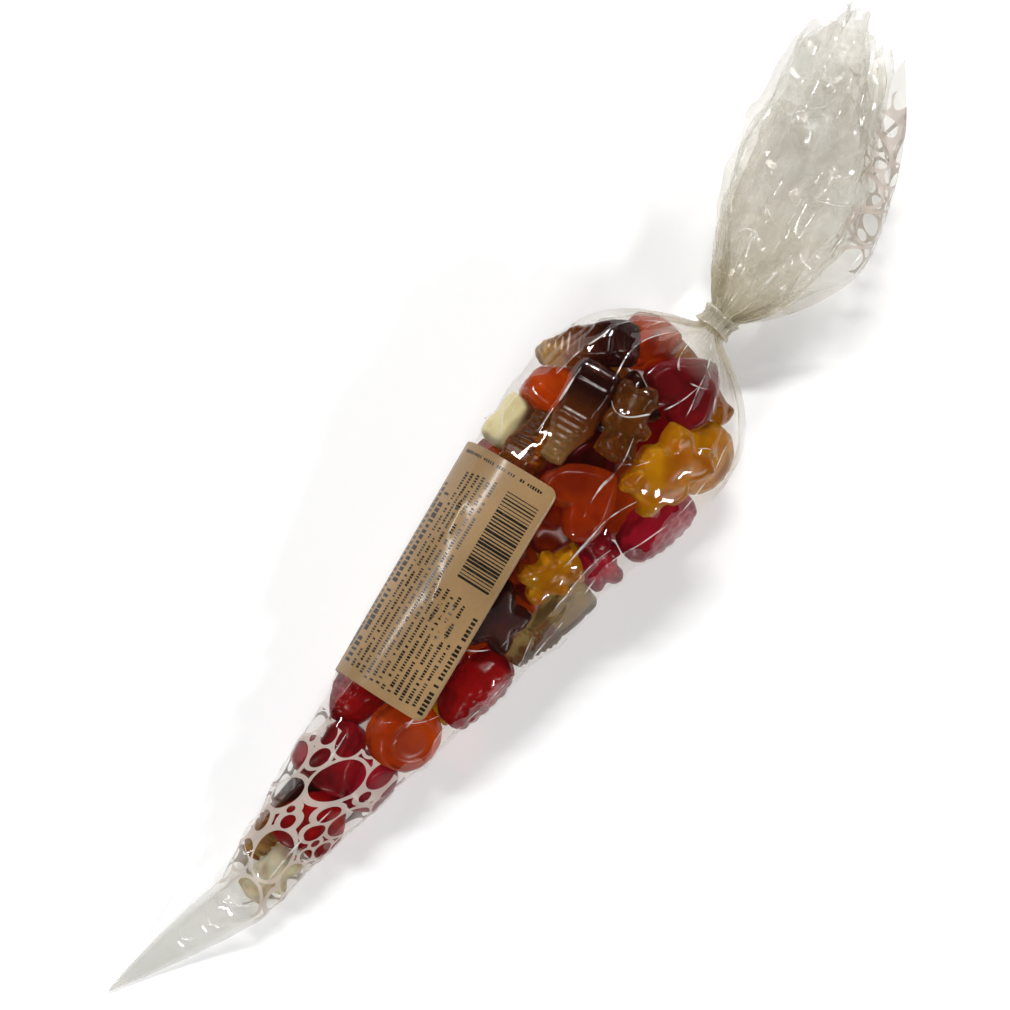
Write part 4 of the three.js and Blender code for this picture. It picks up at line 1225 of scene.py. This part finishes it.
def label_place(along, across):
    """Where shares along and across the label lie on the bag: distance from the bend, and angle."""
    edge = (WIDEST_WIDTH - BEND_WIDTH) / 2 / CONE_LENGTH - CONE_BOW / CONE_LENGTH
    slant = math.atan(edge) - LABEL_TURN
    u = along * LABEL_LENGTH
    v = across * LABEL_WIDTH - LABEL_WRAP
    y = LABEL_START + u * math.cos(slant) + v * math.sin(slant)
    drift = (u - LABEL_LENGTH / 2) * math.sin(LABEL_TURN)
    return y, angle_from(math.pi, y, -(v + drift))


def on_label(along, across, lift):
    y, angle = label_place(along, across)
    return SURFACES["label"].at(y, angle, lift)


def label_outline_rows():
    """Shares along the label for its rows, closer at the round corners."""
    corner = LABEL_CORNER / LABEL_LENGTH
    quarter = 1 - np.cos(np.linspace(0, math.pi / 2, 7))
    ends = corner * quarter
    return np.concatenate([ends, np.linspace(corner, 1 - corner, 40)[1:-1], (1 - ends)[::-1]])


class CANDYCONE_OT_label(bpy.types.Operator):
    """Lays the paper label on the film and prints it"""

    bl_idname = "candy_cone.label"
    bl_label = "Paper label"

    def execute(self, context):
        SURFACES["label"] = label_surface()
        rows = label_outline_rows()
        columns = np.linspace(0, 1, 37)
        from_end = np.minimum(rows, 1 - rows) * LABEL_LENGTH
        short = np.maximum(0, LABEL_CORNER - from_end)
        cut = (LABEL_CORNER - np.sqrt(LABEL_CORNER**2 - short**2)) / LABEL_WIDTH
        across = cut[:, None] + (1 - 2 * cut)[:, None] * columns[None, :]
        along = np.repeat(rows[:, None], len(columns), axis=1)
        top = on_label(along, across, np.full(along.shape, LABEL_LIFT + LABEL_SHEET))
        under = on_label(along, across, np.full(along.shape, LABEL_LIFT))
        mesh = sheet_mesh("label_paper", under, top)
        new_piece("label_paper", mesh, paper_material(), "label_paper", "label")
        ink = label_ink_material()
        new_piece("label_print", print_mesh(ink), ink, "label_paper")
        return {"FINISHED"}


def label_surface():
    """The bag's smooth form, which the paper label holds."""
    y = SURFACES["body"].y
    angle = np.arange(BODY_COLUMNS) * TWO_PI / BODY_COLUMNS
    x, half, z, deep = bag_section(y)
    runs = [run_of(points, 14) for points in LABEL_RIDGES]
    ridge = raised_along(np.zeros((len(y), BODY_COLUMNS)), y, angle, runs, LABEL_RIDGE)
    px = x[:, None] + (half[:, None] + ridge) * np.cos(angle)
    pz = np.maximum(z[:, None] + (deep[:, None] + ridge) * np.sin(angle), FLOOR_GAP)
    return Surface(y, placed(px, y[:, None], pz))


def sheet_mesh(name, under, top):
    """A thin closed sheet between two grids of points."""
    rows, columns = top.shape[:2]
    vertices = np.vstack([top.reshape(-1, 3), under.reshape(-1, 3)])
    below = rows * columns
    faces = []
    for r in range(rows - 1):
        for c in range(columns - 1):
            a = r * columns + c
            quad = [a, a + 1, a + columns + 1, a + columns]
            faces.append(quad)
            faces.append([below + i for i in reversed(quad)])
    rim = list(range(columns)) + [r * columns + columns - 1 for r in range(1, rows)]
    rim += [rows * columns - 1 - i for i in range(1, columns)] + [r * columns for r in range(rows - 2, 0, -1)]
    for i, a in enumerate(rim):
        b = rim[(i + 1) % len(rim)]
        faces.append([b, a, below + a, below + b])
    return new_mesh(name, vertices, faces)


def marks_tree():
    """Geometry nodes for a row of printed marks: flat bars of uneven size at an even pitch."""
    tree = bpy.data.node_groups.new("Row of printed marks", "GeometryNodeTree")
    kinds = {"Count": "Int", "Seed": "Int", "Ink": "Material"} | dict.fromkeys(MARK_SIZES, "Float")
    for label, kind in kinds.items():
        tree.interface.new_socket(label, in_out="INPUT", socket_type="NodeSocket" + kind)
    tree.interface.new_socket("Geometry", in_out="OUTPUT", socket_type="NodeSocketGeometry")
    given = add_node(tree, "NodeGroupInput").outputs
    offset = add_node(tree, "ShaderNodeCombineXYZ", {"X": given["Pitch"]})
    line = {"Count": given["Count"], "Offset": offset.outputs[0]}
    line = add_node(tree, "GeometryNodeMeshLine", line, mode="OFFSET")
    bar = add_node(tree, "GeometryNodeMeshGrid", Size_X=1, Size_Y=1, Vertices_X=2, Vertices_Y=7)
    length = {2: given["Shortest"], 3: given["Longest"], "Seed": given["Seed"]}
    length = add_node(tree, "FunctionNodeRandomValue", length, data_type="FLOAT")
    height = {2: given["Lowest"], 3: given["Highest"]}
    height = add_node(tree, "FunctionNodeRandomValue", height, data_type="FLOAT")
    size = {"X": length.outputs[1], "Y": height.outputs[1], "Z": 1}
    size = add_node(tree, "ShaderNodeCombineXYZ", size)
    kept = {"Probability": given["Kept"], "Seed": given["Seed"]}
    kept = add_node(tree, "FunctionNodeRandomValue", kept, data_type="BOOLEAN")
    marks = {"Points": line.outputs[0], "Instance": bar.outputs[0]}
    marks |= {"Scale": size.outputs[0], "Selection": kept.outputs[3]}
    marks = add_node(tree, "GeometryNodeInstanceOnPoints", marks)
    real = add_node(tree, "GeometryNodeRealizeInstances", {"Geometry": marks.outputs[0]})
    inked = {"Geometry": real.outputs[0], "Material": given["Ink"]}
    inked = add_node(tree, "GeometryNodeSetMaterial", inked)
    add_node(tree, "NodeGroupOutput", {"Geometry": inked.outputs[0]})
    return tree


def row_of_marks(tree, **inputs):
    """One row of marks, flat, as points and faces. It runs along x from 0."""
    holder = bpy.data.objects.new("marks", bpy.data.meshes.new("marks"))
    bpy.context.scene.collection.objects.link(holder)
    modifier = holder.modifiers.new("marks", "NODES")
    modifier.node_group = tree
    for socket in tree.interface.items_tree:
        if socket.in_out == "INPUT":
            modifier[socket.identifier] = inputs[socket.name]
    mesh = applied(holder)
    points, _ = vertex_arrays(mesh)
    faces = [list(polygon.vertices) for polygon in mesh.polygons]
    bpy.data.meshes.remove(mesh)
    return points, faces


# Marks on the label: their sizes in millimetres, and the share of them that is kept.
MARK_SIZES = ("Pitch", "Lowest", "Highest", "Shortest", "Longest", "Kept")
MARKS = {
    "title": (1.8, 1.725, 2.645, 0.7, 1.65, 0.93),
    "subtitle": (1.8, 1.725, 2.645, 0.7, 1.65, 0.92),
    "line": (0.86, 0.7125, 1.0925, 0.36, 0.7, 0.84),
    "foot": (1.3, 1.2, 1.84, 0.55, 0.95, 0.86),
    "turned": (0.84, 0.675, 1.035, 0.36, 0.68, 0.85),
    "stripes": (1.02, 10.5, 10.5, 0.26, 0.84, 1.0),
}


def label_rows():
    """Rows of marks on the label, in millimetres: kind, start along it, place across it, and length."""
    rows = [("title", 9.0, 15.2, 57.0), ("subtitle", 4.5, 18.9, 58.0)]
    for i, length in enumerate([67.0] * 6 + [34.0] * 5 + [20.0]):
        rows.append(("line", 3.0 + 0.3 * (i % 3), 22.3 + 2.07 * i, length + 1.5 * math.sin(3.1 * i)))
    rows.append(("foot", 2.5, 47.9, 33.0))
    return rows


def print_mesh(ink):
    """The label's printing: rows of plain marks, one row that runs across, and a block of stripes."""
    tree = marks_tree()
    vertices, faces = [], []

    def add_row(kind, start, place, length, seed):
        inputs = dict(zip(MARK_SIZES, MARKS[kind]), Seed=seed, Ink=ink)
        points, polygons = row_of_marks(tree, Count=int(length / inputs["Pitch"]), **inputs)
        turned = kind == "turned"
        along, across = (points[:, 1], points[:, 0]) if turned else (points[:, 0], points[:, 1])
        shares = (start + along) / (LABEL_LENGTH * 1000), (place + across) / (LABEL_WIDTH * 1000)
        lift = np.full(len(points), LABEL_LIFT + LABEL_SHEET + LABEL_INK)
        base = len(vertices)
        vertices.extend(on_label(*shares, lift).tolist())
        faces.extend([[base + i for i in (p if turned else reversed(p))] for p in polygons])

    for number, row in enumerate(label_rows()):
        add_row(*row, number)
    add_row("turned", 74.2, 16.0, 30.5, 30)
    add_row("stripes", 42.0, 42.2, 28.8, 77)
    return new_mesh("label_print", vertices, faces)


# The tape

TAPE_SEED = 3
TAPE_ROWS, TAPE_COLUMNS = 24, 144
TAPE_SHEET = 0.00025
TAPE_PINCH = 0.001  # how much tighter it is in its middle


class CANDYCONE_OT_tape(bpy.types.Operator):
    """Winds clear tape round the gathered neck"""

    bl_idname = "candy_cone.tape"
    bl_label = "Neck tape"

    def execute(self, context):
        rng = np.random.default_rng(TAPE_SEED)
        angle = np.arange(TAPE_COLUMNS) * TWO_PI / TAPE_COLUMNS
        along = np.linspace(-1, 1, TAPE_ROWS)[:, None]
        middle = (TAPE_LOW + TAPE_HIGH) / 2
        # Its waves and its uneven edges stay inside the solid.
        radius = (TAPE_HIGH.x - TAPE_LOW.x) / 2 - 0.0004
        length = (TAPE_HIGH.y - TAPE_LOW.y) / 2 - 0.0008
        lobes = 0.0002 * np.sin(11 * angle) + 0.0001 * np.sin(23 * angle + 1)
        y = middle.y + along * (length + 0.0003 * np.sin(3 * angle + 0.4))
        pinch = TAPE_PINCH * np.cos(math.pi / 2 * along) ** 2
        grids = []
        for inset in (0.0, TAPE_SHEET):
            reach = radius - inset + lobes - pinch + 0.00005 * rng.normal(size=(1, TAPE_COLUMNS))
            x, z = middle.x + reach * np.cos(angle), middle.z + reach * np.sin(angle)
            grids.append(np.stack([x, y, z], axis=-1).reshape(-1, 3))
        outside = ring_faces(TAPE_ROWS, TAPE_COLUMNS)
        inside = len(grids[0])
        a = np.arange(TAPE_COLUMNS)
        b = (a + 1) % TAPE_COLUMNS
        last = inside - TAPE_COLUMNS
        start = np.stack([a, b, inside + b, inside + a], axis=1)
        end = last + np.stack([a, inside + a, inside + b, b], axis=1)
        faces = np.vstack([outside, outside[:, ::-1] + inside, start, end]).tolist()
        wound = new_mesh("tape_wound", np.vstack(grids), faces)
        new_piece("tape_wound", wound, tape_material(), "clear_tape", "neck_tape")
        return {"FINISHED"}


# The studio

VIEW_ROLL = math.radians(40.5)  # the bag's axis leans this far from the picture's upright
VIEW_WIDTH = 0.293  # what the picture's width takes in at the bag's middle height
VIEW_DISTANCE = 0.75
VIEW_FROM_BEND = (-0.0169, 0.1381)
MIDDLE_HEIGHT = 0.02
FLOOR_HALF = 30.0
CARD_FAR = (0.4, 1.3)  # how far from the bag the card's own glow starts to rise, and where it is full
CARD_GLOW = (0.22, 1.0)
WORLD_STRENGTH = 0.05
LAMP_AIM = (0, 0.02, 0.02)
# Each lamp's name, place, size and power.
LAMPS = (
    ("key", (-0.55, 0.75, 0.85), (0.4, 0.07), 10.2),
    ("side", (0.8, 0.1, 0.55), (0.35, 0.06), 3.7),
    ("end", (0.1, -0.9, 0.6), (0.3, 0.06), 3.7),
    ("left", (-0.8, -0.3, 0.6), (0.3, 0.06), 2.4),
)
# How many times light of each kind bounces.
BOUNCES = {
    "max_bounces": 7,
    "diffuse_bounces": 2,
    "glossy_bounces": 3,
    "transmission_bounces": 6,
    "transparent_max_bounces": 32,
}
SENSOR_WIDTH = 36


def floor_material():
    """Matt white card that the camera sees as white, and that keeps the bag's shadow."""
    material, tree = new_material("White card")
    where = add_node(tree, "ShaderNodeTexCoord").outputs["Object"]
    grain = add_node(tree, "ShaderNodeTexNoise", {"Vector": where}, Scale=300, Detail=2)
    stops = ((0, "#F4F4F4"), (1, "#F8F8F8"))
    tone = add_node(tree, "ShaderNodeValToRGB", {"Fac": grain.outputs["Fac"]}, stops)
    card = add_node(tree, "ShaderNodeBsdfDiffuse", {"Color": tone.outputs[0]})
    # Far from the bag, where the lamps don't reach, the card is lifted to white by itself.
    far = add_node(tree, "ShaderNodeVectorMath", {0: where}, operation="LENGTH")
    rise = add_node(
        tree, "ShaderNodeMapRange", {"Value": far.outputs["Value"]}, interpolation_type="SMOOTHSTEP",
        From_Min=CARD_FAR[0], From_Max=CARD_FAR[1], To_Min=CARD_GLOW[0], To_Max=CARD_GLOW[1],
    )
    lift = add_node(tree, "ShaderNodeEmission", {"Strength": rise.outputs[0]}, Color=linear("#FFFFFF"))
    both = add_node(tree, "ShaderNodeAddShader", {0: card.outputs[0], 1: lift.outputs[0]})
    ray = add_node(tree, "ShaderNodeLightPath").outputs
    through = {0: ray["Is Glossy Ray"], 1: ray["Is Transmission Ray"]}
    through = add_node(tree, "ShaderNodeMath", through, operation="MAXIMUM")
    seen = {0: ray["Is Camera Ray"], 1: through.outputs[0]}
    seen = add_node(tree, "ShaderNodeMath", seen, operation="MAXIMUM")
    chosen = {0: seen.outputs[0], 1: card.outputs[0], 2: both.outputs[0]}
    chosen = add_node(tree, "ShaderNodeMixShader", chosen)
    add_node(tree, "ShaderNodeOutputMaterial", {"Surface": chosen.outputs[0]})
    return material


def set_world(scene):
    scene.world = bpy.data.worlds.new("Studio")
    scene.world.use_nodes = True
    tree = scene.world.node_tree
    tree.nodes.clear()
    background = add_node(tree, "ShaderNodeBackground", Strength=WORLD_STRENGTH)
    add_node(tree, "ShaderNodeOutputWorld", {"Surface": background.outputs[0]})


def add_lamp(scene, name, place, size, power):
    data = bpy.data.lights.new(name, "AREA")
    data.shape = "RECTANGLE"
    data.size, data.size_y = size
    data.energy = power
    lamp = bpy.data.objects.new(name, data)
    lamp.location = place
    lamp.rotation_euler = (Vector(LAMP_AIM) - Vector(place)).to_track_quat("-Z", "Y").to_euler()
    scene.collection.objects.link(lamp)


class CANDYCONE_OT_stage(bpy.types.Operator):
    """Sets up the floor, the lamps, the world and the camera"""

    bl_idname = "candy_cone.stage"
    bl_label = "Studio"

    def execute(self, context):
        scene = context.scene
        corners = [(x * FLOOR_HALF, y * FLOOR_HALF, 0) for x, y in ((-1, -1), (1, -1), (1, 1), (-1, 1))]
        floor = bpy.data.objects.new("floor", new_mesh("floor", corners, [[0, 1, 2, 3]]))
        scene.collection.objects.link(floor)
        floor.data.materials.append(floor_material())
        set_world(scene)
        for lamp in LAMPS:
            add_lamp(scene, *lamp)
        camera = bpy.data.objects.new("camera", bpy.data.cameras.new("camera"))
        camera.data.sensor_width = SENSOR_WIDTH
        camera.data.lens = SENSOR_WIDTH * VIEW_DISTANCE / VIEW_WIDTH
        camera.data.clip_start = 0.01
        x, y = VIEW_FROM_BEND
        camera.location = (x + BEND_X, y + BEND_Y, MIDDLE_HEIGHT + VIEW_DISTANCE)
        camera.rotation_euler = (0, 0, VIEW_ROLL)
        scene.collection.objects.link(camera)
        scene.camera = camera
        scene.view_settings.view_transform = "Standard"
        for kind, count in BOUNCES.items():
            setattr(scene.cycles, kind, count)
        return {"FINISHED"}


class CANDYCONE_PT_panel(bpy.types.Panel):
    """Lists the cone's pieces"""

    bl_idname = "CANDYCONE_PT_panel"
    bl_label = "Candy cone"
    bl_space_type = "VIEW_3D"
    bl_region_type = "UI"
    bl_category = "Candy cone"

    def draw(self, context):
        for group in (context.scene.candy_cone_sizes, context.scene.candy_cone_colours):
            for name in group.__annotations__:
                self.layout.prop(group, name)
        for step in STEPS:
            self.layout.operator(step.bl_idname)


STEPS = (
    CANDYCONE_OT_stage,
    CANDYCONE_OT_sweets,
    CANDYCONE_OT_film,
    CANDYCONE_OT_print,
    CANDYCONE_OT_label,
    CANDYCONE_OT_tape,
)
CLASSES = (CandyConeSizes, CandyConeColours, *STEPS, CANDYCONE_PT_panel)


def register():
    for cls in CLASSES:
        bpy.utils.register_class(cls)
    bpy.types.Scene.candy_cone_sizes = bpy.props.PointerProperty(type=CandyConeSizes)
    bpy.types.Scene.candy_cone_colours = bpy.props.PointerProperty(type=CandyConeColours)


def unregister():
    del bpy.types.Scene.candy_cone_sizes
    del bpy.types.Scene.candy_cone_colours
    for cls in reversed(CLASSES):
        bpy.utils.unregister_class(cls)


def main():
    register()
    for step in STEPS:
        getattr(bpy.ops.candy_cone, step.bl_idname.partition(".")[2])()


if __name__ == "__main__":
    main()
